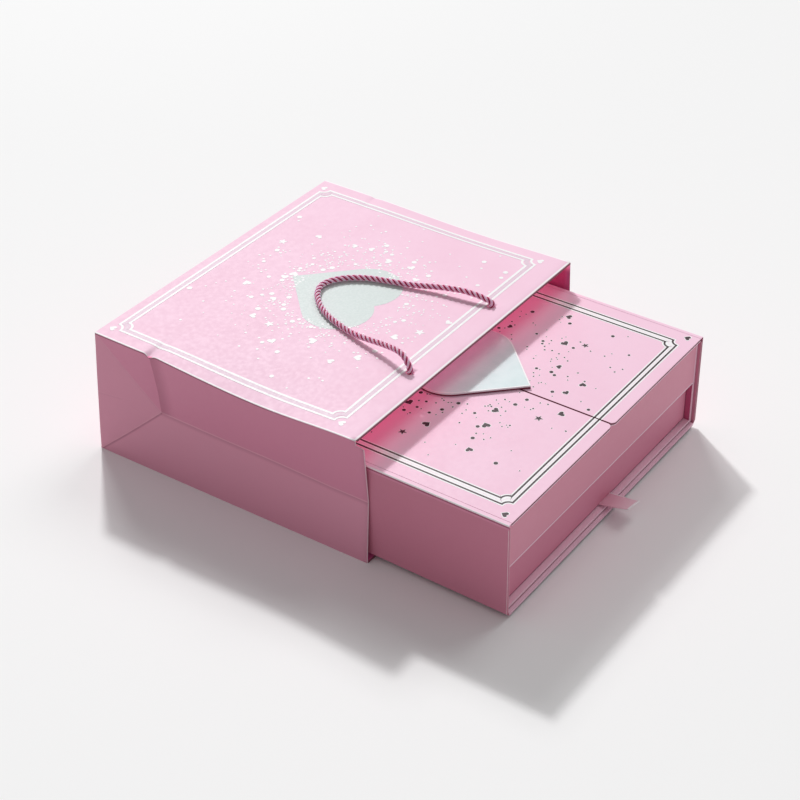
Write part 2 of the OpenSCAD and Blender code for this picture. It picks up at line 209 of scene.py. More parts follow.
colours = {  # a name with Cloud is the second tone, clouded through the first
    # lit is the pink paper's tone in painted light; side and the box's side, tray and drawer tones below are
    # painted-shade copies of the same paper for faces turned from the light, the drawer darkest as painted
    # shade under the tray band
    "lit": (0.93, 0.62, 0.765),
    "side": (0.695, 0.255, 0.38),
    "boxShadedSide": (0.61, 0.21, 0.305),
    "tray": (0.80, 0.335, 0.445),
    "drawer": (0.75, 0.265, 0.385),
    # a lighter copy of the pink for the ledges at the box's foot: painted light
    "litLedge": (0.97, 0.66, 0.79),
    # a dark copy for the frame walls beside the drawer: painted shade in the recess
    "recessShade": (0.52, 0.09, 0.20),
    "inside": (0.85, 0.34, 0.47),
    "lining": (0.94, 0.24, 0.43),
    "glow": (1.0, 0.28, 0.50),
    "sideGlow": (0.05, 0.008, 0.03),
    "sideLiningShade": (0.62, 0.11, 0.26),
    # the pale tone of worn edges, also used as a painted highlight along edges and folds
    "worn": (0.985, 0.94, 0.965),
    # a paler pink for painted highlights along creases and painted light on the gussets' lower half
    "crease": (0.84, 0.44, 0.54),
    # near-black maroon for painted shade lines under folds and edges and in seams; the lining's mottle uses
    # it too
    "shadeMaroon": (0.20, 0.02, 0.055),
    "pearl": (0.655, 0.72, 0.705),
    "pearlCloud": (0.61, 0.68, 0.665),
    "plaque": (0.74, 0.86, 0.87),
    "plaqueCloud": (0.68, 0.81, 0.82),
    "white": (0.97, 0.97, 0.97),
    "whiteCloud": (0.92, 0.91, 0.92),
    "inkGap": (0.80, 0.62, 0.72),
    "inkGapCloud": (0.77, 0.57, 0.68),
    "bandInk": (0.93, 0.80, 0.87),
    "bandInkCloud": (0.90, 0.74, 0.83),
    "foil": (0.025, 0.010, 0.015),
    # the foil's lighter cloud: a painted glint, in random patches
    "foilCloud": (0.075, 0.045, 0.055),
    "card": (0.58, 0.54, 0.50),
    "cardCloud": (0.46, 0.43, 0.40),
    "yarn": (0.99, 0.34, 0.56),
    "yarnShade": (0.45, 0.004, 0.07),
    "yarnPaleAndHighlight": (1.0, 0.66, 0.82),
    "ribbon": (0.86, 0.48, 0.60),
    "ribbonLitTip": (0.93, 0.72, 0.79),
    "steel": (0.55, 0.56, 0.58),
    "steelCloud": (0.42, 0.43, 0.45),
    "floor": (0.935, 0.935, 0.935),
    "floorNear": (0.875, 0.875, 0.875),
}

paper = {
    "mottle": 38 * mm,
    "mottleAmount": 0.08,
    "grain": 0.45 * mm,
    "grainDepth": 0.012 * mm,
    "fibre": 3.0 * mm,
    # the pale edge marks are wear and a painted highlight together
    "wearAndHighlightFull": 0.08 * mm,
    "wearAndHighlightEdge": 0.32 * mm,
    "ragged": 0.2 * mm,
    "bandEdge": 0.1 * mm,
    "wearAndHighlightShare": 0.5,
    "roughness": 0.55,
}


def paperGrain(finish, place, under=None):
    grain = finish.noise(place, paper["grain"], 2.0, 0.6)
    return finish.bump(grain, paper["grainDepth"], 1.0, under)


def clouded(finish, place, colour, deeper="side"):  # the print's tone, a little uneven
    clouds = finish.noise(place, paper["mottle"], 3.0)
    amount = finish.ramp(clouds, 0.3, 0.7, 0.0, paper["mottleAmount"])
    return finish.mix(amount, colour, colours[deeper])


def paperShine(finish, place, tone, scuffs, under=None):
    rough = finish.ramp(scuffs, 0.2, 0.8, paper["roughness"] - 0.06, paper["roughness"] + 0.08)
    return finish.wear(Base_Color=tone, Roughness=rough, Normal=paperGrain(finish, place, under))


def nearEdge(finish, parts, low, high, openAxes):
    # distance to the nearest edge of a board, leaving out the edges that its neighbours cover
    middle = (low + high) / 2
    half = (high - low) / 2
    covered = [0 if axis in openAxes else 1 for axis in "xyz"]
    toSide, toEnd, toFace = (
        half[i] + covered[i] - abs(wire - middle[i]) for i, wire in enumerate(parts)
    )
    inner = finish.lower(toSide, toEnd)
    outer = finish.higher(toSide, toEnd)
    return finish.higher(inner, finish.lower(outer, toFace))


def startPaper(name):  # a finish, the place on its piece, that place's parts and the paper's fibres
    finish = Finish(name)
    place = finish.place()
    return finish, place, finish.parts(place), finish.noise(place, paper["fibre"], 3.0)


def boardPaper(name, low, high, tone, openAxes, bands):
    # wrapped board, paler where the paper is pulled tight over an edge, as wear and as a painted highlight;
    # each band is a tone between two distances from the board's lower corner, along one axis
    finish, place, parts, scuffs = startPaper(name)
    edge = nearEdge(finish, parts, low, high, openAxes) + (scuffs - 0.5) * paper["ragged"]
    worn = finish.ramp(edge, paper["wearAndHighlightFull"], paper["wearAndHighlightEdge"], paper["wearAndHighlightShare"], 0.0)
    colour = clouded(finish, place, colours[tone])
    colour = finish.mix(worn, colour, colours["worn"])
    soft = paper["bandEdge"]
    for axis, near, far, band, amount in bands:
        i = "xyz".index(axis)
        away = parts[i] - low[i]
        inside = finish.ramp(away, near * mm - soft, near * mm + soft)
        inside = inside * finish.ramp(away, far * mm + soft, far * mm - soft) * amount
        colour = finish.mix(inside, colour, colours[band])
    return paperShine(finish, place, colour, scuffs)


def plainFinish(name, tone, size, roughness, depth, **shine):
    # one colour with a second one clouded through it, and a fine tooth
    finish = Finish(name, **shine)
    place = finish.place()
    clouds = finish.noise(place, size, 4.0, 0.6)
    colour = finish.mix(finish.ramp(clouds, 0.3, 0.7), colours[tone], colours[tone + "Cloud"])
    rough = finish.ramp(clouds, 0.2, 0.8, roughness - 0.05, roughness + 0.05)
    tooth = finish.noise(place, size / 6, 3.0, 0.7)
    return finish.wear(Base_Color=colour, Roughness=rough, Normal=finish.bump(tooth, depth))


def share(low, high, value):
    return min(max((value - low) / (high - low), 0.0), 1.0)


def eased(amount):
    return amount * amount * (3 - 2 * amount)


def newPiece(name, bm, materials, body, replaced=()):
    mesh = bpy.data.meshes.new(name)
    bm.to_mesh(mesh)
    bm.free()
    for material in materials:
        mesh.materials.append(material)
    piece = bpy.data.objects.new(name, mesh)
    bpy.context.scene.collection.objects.link(piece)
    if body:
        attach(piece, body)
    if replaced:
        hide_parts(*replaced)
    return piece


def thicken(piece, thickness, offset, innerFinish=0):
    skin = piece.modifiers.new("thickness", "SOLIDIFY")
    skin.thickness = thickness
    skin.offset = offset
    skin.material_offset = innerFinish
    graph = bpy.context.evaluated_depsgraph_get()
    mesh = bpy.data.meshes.new_from_object(piece.evaluated_get(graph))
    piece.modifiers.clear()
    piece.data = mesh


def unique(parts):  # each part once and in the order met, so that every run gives the same mesh
    return list(dict.fromkeys(parts))


def grown(bm, edges):  # a new row off a row of edges: its own edges and its corners
    made = bmesh.ops.extrude_edge_only(bm, edges=edges)["geom"]
    return [[g for g in made if isinstance(g, kind)] for kind in (bmesh.types.BMEdge, bmesh.types.BMVert)]


def smoothFaces(bm):
    for face in bm.faces:
        face.smooth = True


def coverFaces(verts, index):  # gives the faces round some corners one of the piece's finishes
    for face in {f for v in verts for f in v.link_faces}:
        face.material_index = index


def faceAlong(bm, axis):  # a sheet's faces turned towards the positive end of an axis
    bmesh.ops.recalc_face_normals(bm, faces=bm.faces)
    if sum(f.normal[axis] for f in bm.faces) < 0:
        bmesh.ops.reverse_faces(bm, faces=bm.faces)


def towards(angle):
    return Vector((math.cos(angle), math.sin(angle)))


panelLow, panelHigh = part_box("bag_front_panel")
backLow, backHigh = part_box("bag_back_panel")
knotLow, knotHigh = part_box("rope_knots")

rope = {
    "diameter": 4 * mm,
    "span": 86 * mm,
    "holeRadius": 2.5 * mm,
    "lay": 11 * mm,
    "strandRadius": 1.02 * mm,
    "strandPlace": 0.98 * mm,
    "strandSides": 10,
    "step": 0.6 * mm,
    "bendHeight": 2.6 * mm,
    "yarns": 7,
    "yarnLay": 2.6 * mm,
    "yarnDepth": 0.12 * mm,
    "fuzz": 0.35 * mm,
    "glow": (2.6 * mm, 1.3 * mm, 1.8 * mm),
    "highlightUntil": (0.26, 0.06),
    "shadeFrom": (0.30, 0.50),
}
knot = {
    "depth": 4.4 * mm,  # from the panel down to where the rope enters it
    "drop": 2.4 * mm,
    "size": 0.86 * mm,
    "radius": 1.55 * mm,
    "sides": 14,
    "rings": 96,
    "step": 0.5 * mm,
}
holeY = (knotLow.y + knotHigh.y) / 2
panelTop = panelHigh.z
# across the bag, from the holes' line towards the closed end, and above the front panel, in mm
ropeRoute = [
    (-43, 0, 2.6), (-42.6, 2, 6), (-41, 6.3, 8.6), (-39, 12.6, 8.9), (-36.5, 22, 7.2),
    (-34.5, 33, 5.2), (-33, 43, 3.6), (-31, 52, 2.6), (-28.3, 61.5, 2.3), (-24.6, 72, 2.3),
    (-19.2, 82, 2.3), (-12, 90.5, 2.3), (-4.5, 96, 2.3), (2.7, 98, 2.3), (9.5, 96, 2.3),
    (16.4, 91, 2.3), (22, 83.5, 2.3), (26, 75, 2.3), (28.8, 65.5, 2.3), (31.5, 56, 2.4),
    (34.5, 46.5, 2.9), (37.5, 37, 3.8), (39.5, 28, 4.7), (41, 20, 5.2), (42, 12, 5),
    (42.7, 6, 4.2), (43, 0, 2.6),
]


def throughPoints(points, step):  # a smooth line through points, at even steps
    line = [points[0]]
    last = len(points) - 1
    for i in range(last):
        before = points[max(i - 1, 0)]
        start = points[i]
        end = points[i + 1]
        after = points[min(i + 2, last)]
        count = max(2, round((end - start).length / step))
        for k in range(1, count + 1):
            t = k / count
            line.append(0.5 * (
                2 * start
                + (end - before) * t
                + (2 * before - 5 * start + 4 * end - after) * t * t
                + (3 * start - before - 3 * end + after) * t * t * t
            ))
    return line


def carriedFrames(line, side):  # a turning frame at each point, with no twist of its own
    frames = []
    for i, point in enumerate(line):
        ahead = (line[min(i + 1, len(line) - 1)] - line[max(i - 1, 0)]).normalized()
        side = (side - side.dot(ahead) * ahead).normalized()
        turn = Matrix((side, ahead.cross(side), ahead)).transposed().to_4x4()
        frames.append(Matrix.Translation(point) @ turn)
    return frames


def ropeFinish():
    finish = Finish(
        "twisted_rope", Sheen_Weight=0.06, Sheen_Roughness=0.4,
        Subsurface_Weight=0.6, Subsurface_Scale=1.0, Subsurface_Radius=rope["glow"],
    )
    depth = finish.attribute("groove")
    around = finish.attribute("around")
    along = finish.attribute("along")
    # the yarns of a strand wind the other way round it
    yarns = finish.reckon("SINE", around * rope["yarns"] - along * (math.tau / rope["yarnLay"]))
    fuzz = finish.noise(finish.place(), rope["fuzz"], 3.0, 0.7)
    colour = finish.mix(finish.ramp(fuzz, 0.3, 0.8, 0.0, 0.45), colours["yarn"], colours["yarnPaleAndHighlight"])
    # pale on the strands' crests: painted highlight; dark between the yarns and deep in the grooves: painted
    # shade
    colour = finish.mix(finish.ramp(depth, *rope["highlightUntil"]), colour, colours["yarnPaleAndHighlight"])
    colour = finish.mix(finish.ramp(yarns, -1.0, 0.2, 0.14, 0.0), colour, colours["yarnShade"])
    colour = finish.mix(finish.ramp(depth, *rope["shadeFrom"]), colour, colours["yarnShade"])
    relief = finish.bump(yarns * 0.5 + fuzz, rope["yarnDepth"], 0.8)
    rough = finish.ramp(fuzz, 0.2, 0.8, 0.42, 0.62)
    return finish.wear(Base_Color=colour, Roughness=rough, Normal=relief)


def ropeLayers(bm):  # what the rope's finish reads: place round a strand, along it, and in its groove
    layers = bm.verts.layers.float
    return [layers.get(name) or layers.new(name) for name in ("around", "along", "groove")]


def layStrand(bm, frames, phase):
    around, along, groove = ropeLayers(bm)
    radius = rope["strandRadius"]

    def seat(i):
        turn = Matrix.Rotation(phase + math.tau * i * rope["step"] / rope["lay"], 4, "Z")
        return frames[i] @ turn @ Matrix.Translation((rope["strandPlace"], 0, 0))

    ring = bmesh.ops.create_circle(
        bm, cap_ends=True, segments=rope["strandSides"], radius=radius, matrix=seat(0)
    )["verts"]
    inverse = seat(0).inverted()
    for v in ring:
        spot = inverse @ v.co
        v[around] = math.atan2(spot.y, spot.x)
        v[groove] = 0.5 - 0.5 * spot.x / radius
    edges = unique(e for v in ring for e in v.link_edges)
    for i in range(1, len(frames)):
        edges, ring = grown(bm, edges)
        bmesh.ops.transform(bm, matrix=seat(i) @ seat(i - 1).inverted(), verts=ring)
        for v in ring:
            v[along] = i * rope["step"]
    bmesh.ops.contextual_create(bm, geom=edges)


def buildRope():
    base = Vector((0, holeY, panelTop))
    points = [base + Vector(p) * mm for p in ropeRoute]
    down = Vector((0, 0, -1))
    stub = rope["bendHeight"] + knot["depth"]
    first = [points[0] + down * stub, points[0] + down * stub / 2]
    last = [points[-1] + down * stub / 2, points[-1] + down * stub]
    line = throughPoints(first + points + last, rope["step"])
    frames = carriedFrames(line, Vector((1, 0, 0)))
    bm = bmesh.new()
    for k in range(3):
        layStrand(bm, frames, math.tau * k / 3)
    bmesh.ops.recalc_face_normals(bm, faces=bm.faces)
    smoothFaces(bm)
    finish = ropeFinish()
    loop = newPiece("rope_handle", bm, [finish], None, ["handle_rope"])
    path = line[::3] if (len(line) - 1) % 3 == 0 else line[::3] + [line[-1]]
    length = sum((b - a).length for a, b in zip(path, path[1:]))
    knots = bmesh.new()
    for point, side in ((path[0], -1), (path[-1], 1)):
        tieKnot(knots, point, side)
    knots = newPiece("rope_end_knots", knots, [finish], "bag", ["rope_knots"])
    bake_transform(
        loop, "bag", "handle",
        start=base + Vector((0, 0, 0.6)) * mm, end=base + Vector((0, 3, 4.6)) * mm,
    )
    print("rope laid,", round(length / mm), "mm long")


def tieKnot(bm, point, side):  # an overhand knot that bears on the hem
    centre = point - Vector((0, 0, knot["drop"]))
    line = []
    for i in range(knot["rings"] + 1):
        t = math.tau * i / knot["rings"]
        spot = Vector((
            side * (math.sin(t) + 1.5 * math.sin(2 * t)),
            math.cos(t) - 1.5 * math.cos(2 * t),
            -1.6 * math.sin(3 * t),
        ))
        line.append(centre + spot * knot["size"])
    around, along, groove = ropeLayers(bm)
    frames = carriedFrames(line, Vector((0, 0, 1)))
    ring = bmesh.ops.create_circle(
        bm, segments=knot["sides"], radius=knot["radius"], matrix=frames[0]
    )["verts"]
    inverse = frames[0].inverted()
    for v in ring:
        spot = inverse @ v.co
        v[around] = math.atan2(spot.y, spot.x)
    edges = unique(e for v in ring for e in v.link_edges)
    startEdges = edges
    for i in range(1, len(frames) - 1):
        edges, ring = grown(bm, edges)
        bmesh.ops.transform(bm, matrix=frames[i] @ frames[i - 1].inverted(), verts=ring)
        far = i * knot["step"]
        for v in ring:
            spot = frames[i].inverted() @ v.co
            angle = math.atan2(spot.y, spot.x)
            v[along] = far
            v[groove] = 0.30 + 0.30 * math.cos(3 * (angle - far / rope["lay"] * math.tau))
    bmesh.ops.bridge_loops(bm, edges=startEdges + edges)
    bmesh.ops.recalc_face_normals(bm, faces=bm.faces)
    smoothFaces(bm)


buildRope()


bag = {
    "segments": 56,
    "paper": 0.4 * mm,
    "glowDepth": 0.3 * mm,
    "glow": 0.33,
    "setback": panelLow.y - backLow.y,
    "cornerDrop": 3 * mm,
    "cornerFall": 0.8 * mm,
    "lean": backHigh.y - panelHigh.y,
    "flare": backHigh.x - panelHigh.x,
    "push": 3 * mm,
    "fold": 45 * mm,
    "hem": 32 * mm,
    "hemStack": 1.3 * mm,
    "rollSteps": 4,
    "hemRows": 10,
    "hemSideGap": 0.7 * mm,
    "shearLength": 60 * mm,
    "sag": 3.4 * mm,
    "sagPlace": 28 * mm,
    "sagToMouth": 73 * mm,
    "sagToEnd": 95 * mm,
    "flatHalf": 58 * mm,
    "dent": 2.5 * mm,
    "dentPlace": 42 * mm,
    "dentReach": 7.5 * mm,
    "farDent": 0.5 * mm,
    "wave": 0.5 * mm,
    "waveSize": 46 * mm,
    "pinch": 0.9 * mm,
    "flapHeight": 52 * mm,
    "sharpFold": math.radians(24),
}
bagMarks = {  # each pair: the distance in from the edge where a mark starts, and where it is full
    # the mouth and fold marks are pale lines of wear and painted highlight, the mark under the roll is
    # painted shade, and the low share paints light on the gussets' lower half
    "mouth": (1.7 * mm, 1.2 * mm),
    "sideMouth": (0.7 * mm, 0.2 * mm),
    "sideMouthShare": 0.45,
    "underRollShade": (0.15 * mm, 0.03 * mm),
    "underRollShadeShare": 0.93,
    "foldIn": (1.15 * mm, 0.55 * mm),
    "foldDown": (0.8 * mm, 0.2 * mm),
    "lowerLightShare": 0.3,
    "pullSize": 11 * mm,
    "pullDepth": 1.6,
    "relief": 0.25 * mm,
}
bagHalf = panelHigh.x
bagTop = panelHigh.z
mouthY = backLow.y + bag["hemStack"] / 2
endY = panelHigh.y
creaseZ = bagTop / 2
apexY = endY - bag["fold"]
dentY = endY - bag["dentPlace"]
stepTop = bagTop - bag["paper"] - bag["cornerDrop"]
stepFoot = stepTop - bag["cornerFall"]


def edgeSag(y):
    reach = bag["sagToMouth"] if y < bag["sagPlace"] else bag["sagToEnd"]
    away = min(abs(y - bag["sagPlace"]) / reach, 1)
    return bag["sag"] * math.cos(away * math.pi / 2) ** 2


def dentAt(x, y):  # the fold line of the flat bag, dented at both of the panel's edges
    depth = bag["dent"] if x < 0 else bag["farDent"]
    inward = bagHalf - abs(x)
    width = (1.7 if y > dentY else 3.4) * mm + inward * 0.12
    ridge = 0.05 * mm * math.exp(-((inward / (120 * mm)) ** 4))
    fade = math.exp(-(((y - dentY + inward * 0.08) / width) ** 2))
    return (depth * math.exp(-inward / bag["dentReach"]) + ridge) * fade


def drawnDown(x, y):  # how far the front panel lies below its flat height
    side = share(bag["flatHalf"], bagHalf, abs(x)) ** 2
    hanging = edgeSag(y) * side * (1 if x < 0 else 0.45)
    return hanging + dentAt(x, y)


def wave(point, window):
    return bag["wave"] * window * noise.noise(point / bag["waveSize"])


def panelHeight(x, y):
    return bagTop - drawnDown(x, y)


def gussetHalf(y, z):  # half the bag's width at a height, with the crease and the end's triangle
    along = share(mouthY, endY, y)
    foot = bagHalf + bag["flare"] * along
    inner = bagHalf - bag["push"]
    toTop = share(creaseZ, bagTop, z)
    toFoot = share(creaseZ, 0, z)
    toEnd = share(apexY, endY, y)
    if toEnd > 0 and toTop <= toEnd and toFoot <= toEnd:
        spread = (bag["push"] + bag["flare"] / 2) * toEnd
        return inner + spread - bag["flare"] * (z - creaseZ) / bagTop
    if z >= creaseZ:
        return inner + bag["push"] * toTop
    return inner + (foot - inner) * toFoot


def pinchAt(y, z):  # the band from the dent down to the triangle's point
    above = share(creaseZ, bagTop, z)
    line = apexY + (dentY - apexY) * above
    reach = (11 if y < line else 4) * mm
    return bag["pinch"] * math.exp(-abs(y - line) / reach) * eased(min(above * 2.5, 1))


def mouthShift(x, y, z):  # how far the mouth's edge stands back, at the panel and down each gusset
    if abs(x) < bagHalf - 0.01 * mm:
        back = 1 if z > creaseZ else 0
    elif x < 0:
        back = share(stepFoot, stepTop, z)
    else:
        back = z / bagTop
    hemEnd = mouthY + bag["hem"]
    return bag["setback"] * back * (1 - eased(share(hemEnd, hemEnd + bag["shearLength"], y)))


def folded(p):
    x, y, z = p
    upper = share(creaseZ, bagTop, z)
    rim = min(
        share(0, 12 * mm, z), share(bagTop, bagTop - 12 * mm, z), share(mouthY, mouthY + 25 * mm, y)
    )
    atSide = abs(x) > bagHalf - 0.01 * mm
    inward = pinchAt(y, z) * (1 if x < 0 else 0.5) + wave(Vector(p), rim) if atSide else 0
    newX = x * (gussetHalf(y, z) - inward) / bagHalf
    newY = y + mouthShift(x, y, z) + bag["lean"] * (1 - z / bagTop) * share(apexY, endY, y)
    return Vector((newX, newY, z - drawnDown(newX, newY) * upper))


def heightRows():  # rows up the bag, with one at the crease and two at the corner's step
    cuts = bag["segments"] // 2
    rows = [creaseZ * i / cuts for i in range(cuts)]
    rows += [creaseZ + (stepFoot - creaseZ) * i / (cuts - 3) for i in range(cuts - 2)]
    return rows + [stepTop, (stepTop + bagTop) / 2, bagTop]


def bagStations():  # rows along the bag, close together round the fold line
    near = apexY - 6 * mm
    far = apexY + 12 * mm
    rows = [mouthY + (near - mouthY) * i / 30 for i in range(30)]
    rows += [near + (far - near) * i / 18 for i in range(18)]
    rows += [far + (endY - far) * i / 8 for i in range(9)]
    return rows


def facesNear(bm, centre, reach):
    return [
        f for f in bm.faces
        if abs(f.calc_center_median().z - centre.z) < 0.2 * mm
        and (f.calc_center_median().xy - centre.xy).length < reach
    ]


def punchHole(bm, centre, radius):  # a round hole through one layer of the sheet
    doomed = facesNear(bm, centre, radius * 2.6)
    rim = unique(
        e for f in doomed for e in f.edges if sum(other in doomed for other in e.link_faces) == 1
    )
    layer = doomed[0].material_index
    bmesh.ops.delete(bm, geom=doomed, context="FACES")
    ring = bmesh.ops.create_circle(
        bm, segments=24, radius=radius, matrix=Matrix.Translation(centre)
    )["verts"]
    ringEdges = unique(e for v in ring for e in v.link_edges)
    filled = bmesh.ops.triangle_fill(
        bm, edges=[e for e in rim + ringEdges if e.is_valid], use_beauty=True, normal=(0, 0, 1)
    )["geom"]
    for face in filled:
        if isinstance(face, bmesh.types.BMFace):
            face.material_index = layer


def turnHem(bm, top):  # the mouth edge rolled over and laid back inside
    level = bagTop if top else 0
    into = -1 if top else 1
    edges = [
        e for e in bm.edges
        if all(abs(v.co.y - mouthY) < 0.01 * mm and abs(v.co.z - level) < 0.01 * mm for v in e.verts)
        and all(abs(v.co.x) < bagHalf - bag["hemSideGap"] / 2 for v in e.verts)
    ]
    radius = bag["hemStack"] / 2
    centre = Vector((0, mouthY, level + into * radius))
    turn = Matrix.Rotation(-into * math.pi / bag["rollSteps"], 3, "X")
    for _ in range(bag["rollSteps"]):
        edges, verts = grown(bm, edges)
        bmesh.ops.rotate(bm, cent=centre, matrix=turn, verts=verts)
    for _ in range(bag["hemRows"]):
        edges, verts = grown(bm, edges)
        bmesh.ops.translate(bm, vec=(0, (bag["hem"] - radius) / bag["hemRows"], 0), verts=verts)
        coverFaces(verts, 1)


def foldSheet(bm):  # keeps where each point was on the unfolded box, then folds it
    blank = bm.verts.layers.float_vector.new("blank")
    for v in bm.verts:
        v[blank] = v.co
        v.co = folded(v.co)


def creaseAt(finish, y, z, crease):  # how much painted highlight and painted shade a point gets from a crease near it
    start, end, width, side, reach = crease
    run = Vector((end[0] - start[0], end[1] - start[1]))
    ahead = run.normalized()
    away = ((y - start[0]) * -ahead.y + (z - start[1]) * ahead.x) * side
    along = (y - start[0]) * ahead.x + (z - start[1]) * ahead.y
    inside = finish.ramp(along, -0.5 * mm, 0.5 * mm) * finish.ramp(along, run.length + mm, run.length)
    pale = finish.ramp(abs(away), width, width * 0.2) * inside
    dark = finish.ramp(away, reach, width) * finish.ramp(away, 0, width) * inside
    return pale, dark


def bagFinish():
    finish = Finish("laminated_paper")
    place = finish.place()
    x, y, z = finish.parts(finish.attribute("blank", "Vector"))
    # the top gets the lit tone and the gussets the side tone: painted light and painted shade on one paper
    facing = finish.ramp(z, bagTop - 0.7 * mm, bagTop - 0.2 * mm)
    tone = clouded(finish, place, finish.mix(facing, colours["side"], colours["lit"]))
    atSide = finish.ramp(abs(x), bagHalf - 0.5 * mm, bagHalf - 0.2 * mm)
    apex = (apexY, creaseZ)
    fromMouth = y - mouthY
    # ends, width, the side its painted shade falls on, how far the shade reaches, painted highlight and shade
    # shares
    creases = [
        ((mouthY, creaseZ), apex, 0.7 * mm, -1, 3.5 * mm, 0.55, 0.22),
        (apex, (endY, bagTop), 0.5 * mm, -1, 2 * mm, 0.16, 0.06),
        (apex, (endY, 0), 0.6 * mm, -1, 2 * mm, 0.3, 0.4),
        ((endY, creaseZ), (endY - 17 * mm, creaseZ + 0.8 * mm), 0.5 * mm, 1, 2 * mm, 0.14, 0.06),
        ((dentY, bagTop), apex, 0.5 * mm, -1, 13 * mm, 0.0, 0.34),
    ]
    slope = (bagTop - creaseZ) / bag["fold"]
    # the end triangle and the lower half of each gusset paler: painted light from the floor
    inTriangle = finish.ramp((y - apexY) * slope - abs(z - creaseZ), -0.3 * mm, 0.3 * mm) * atSide
    lowerPanel = finish.ramp(z, creaseZ, creaseZ - 1 * mm) * (1 - inTriangle) * atSide
    tone = finish.mix((inTriangle + lowerPanel) * bagMarks["lowerLightShare"], tone, colours["crease"])
    relief = 0
    for *crease, highlightShare, shadeShare in creases:
        pale, dark = creaseAt(finish, y, z, crease)
        tone = finish.mix(dark * atSide * shadeShare, tone, colours["shadeMaroon"])
        tone = finish.mix(pale * atSide * highlightShare, tone, colours["crease"])
        relief = pale * atSide * highlightShare + relief
    toTop = bagTop - z
    # a dark line just under the top fold, stronger towards the closed end: painted shade
    underFoldShade = finish.ramp(toTop, 1.7 * mm, 1.1 * mm) * finish.ramp(toTop, 0.35 * mm, 0.7 * mm) * atSide
    underFoldShade = underFoldShade * finish.ramp(fromMouth, 20 * mm, 90 * mm, 0.12, 0.75)
    tone = finish.mix(underFoldShade, tone, colours["shadeMaroon"])
    scuffs = finish.noise(place, paper["fibre"], 3.0)
    # pale lines along the top folds and the mouth: wear and painted highlight
    foldWearAndHighlight = finish.ramp(bagHalf - abs(x), *bagMarks["foldIn"]) * finish.ramp(toTop, *bagMarks["foldDown"])
    mouthWearAndHighlight = finish.ramp(fromMouth, *bagMarks["mouth"]) * (1 - atSide)
    sideWearAndHighlight = finish.ramp(fromMouth, *bagMarks["sideMouth"]) * atSide * bagMarks["sideMouthShare"]
    worn = finish.higher(foldWearAndHighlight, finish.higher(mouthWearAndHighlight, sideWearAndHighlight))
    worn = worn * finish.ramp(scuffs, 0.2, 0.45, 0.85, 1.0)
    tone = finish.mix(worn, tone, colours["worn"])
    # the roll of the mouth's edge dark: painted shade
    underRollShade = finish.ramp(fromMouth, *bagMarks["underRollShade"]) * (1 - atSide)
    tone = finish.mix(underRollShade * bagMarks["underRollShadeShare"], tone, colours["shadeMaroon"])
    pulls = finish.noise(finish.stretched(place, (1, 1, 0.35)), bagMarks["pullSize"])
    nearMouth = finish.ramp(fromMouth, 70 * mm, 0) * finish.ramp(z, creaseZ + 4 * mm, creaseZ - 6 * mm)
    relief = relief + pulls * nearMouth * atSide * bagMarks["pullDepth"]
    return paperShine(finish, place, tone, scuffs, finish.bump(relief, bagMarks["relief"], 0.7))


def liningFinish():
    # a glow of the lining's own stands in for light through the thin sheet; it is strong under the
    # front panel, weak at the sides, set to suit the mouth, and the same under any lamps
    finish = Finish(
        "bag_lining", Subsurface_Weight=0.5, Subsurface_Scale=1.0,
        Subsurface_Radius=(bag["glowDepth"],) * 3,
    )
    finish.shader.inputs["Emission Strength"].default_value = bag["glow"]
    height = finish.parts(finish.attribute("blank", "Vector"))[2]
    underPanel = finish.ramp(height, bagTop - 8 * mm, bagTop - 1.5 * mm)
    finish.wear(Emission_Color=finish.mix(underPanel, colours["sideGlow"], colours["glow"]))
    place = finish.place()
    scuffs = finish.noise(place, paper["fibre"], 3.0)
    # the lining is darker down the gussets than under the front panel: painted shade
    tone = finish.mix(underPanel, colours["sideLiningShade"], colours["lining"])
    return paperShine(finish, place, clouded(finish, place, tone, "shadeMaroon"), scuffs)


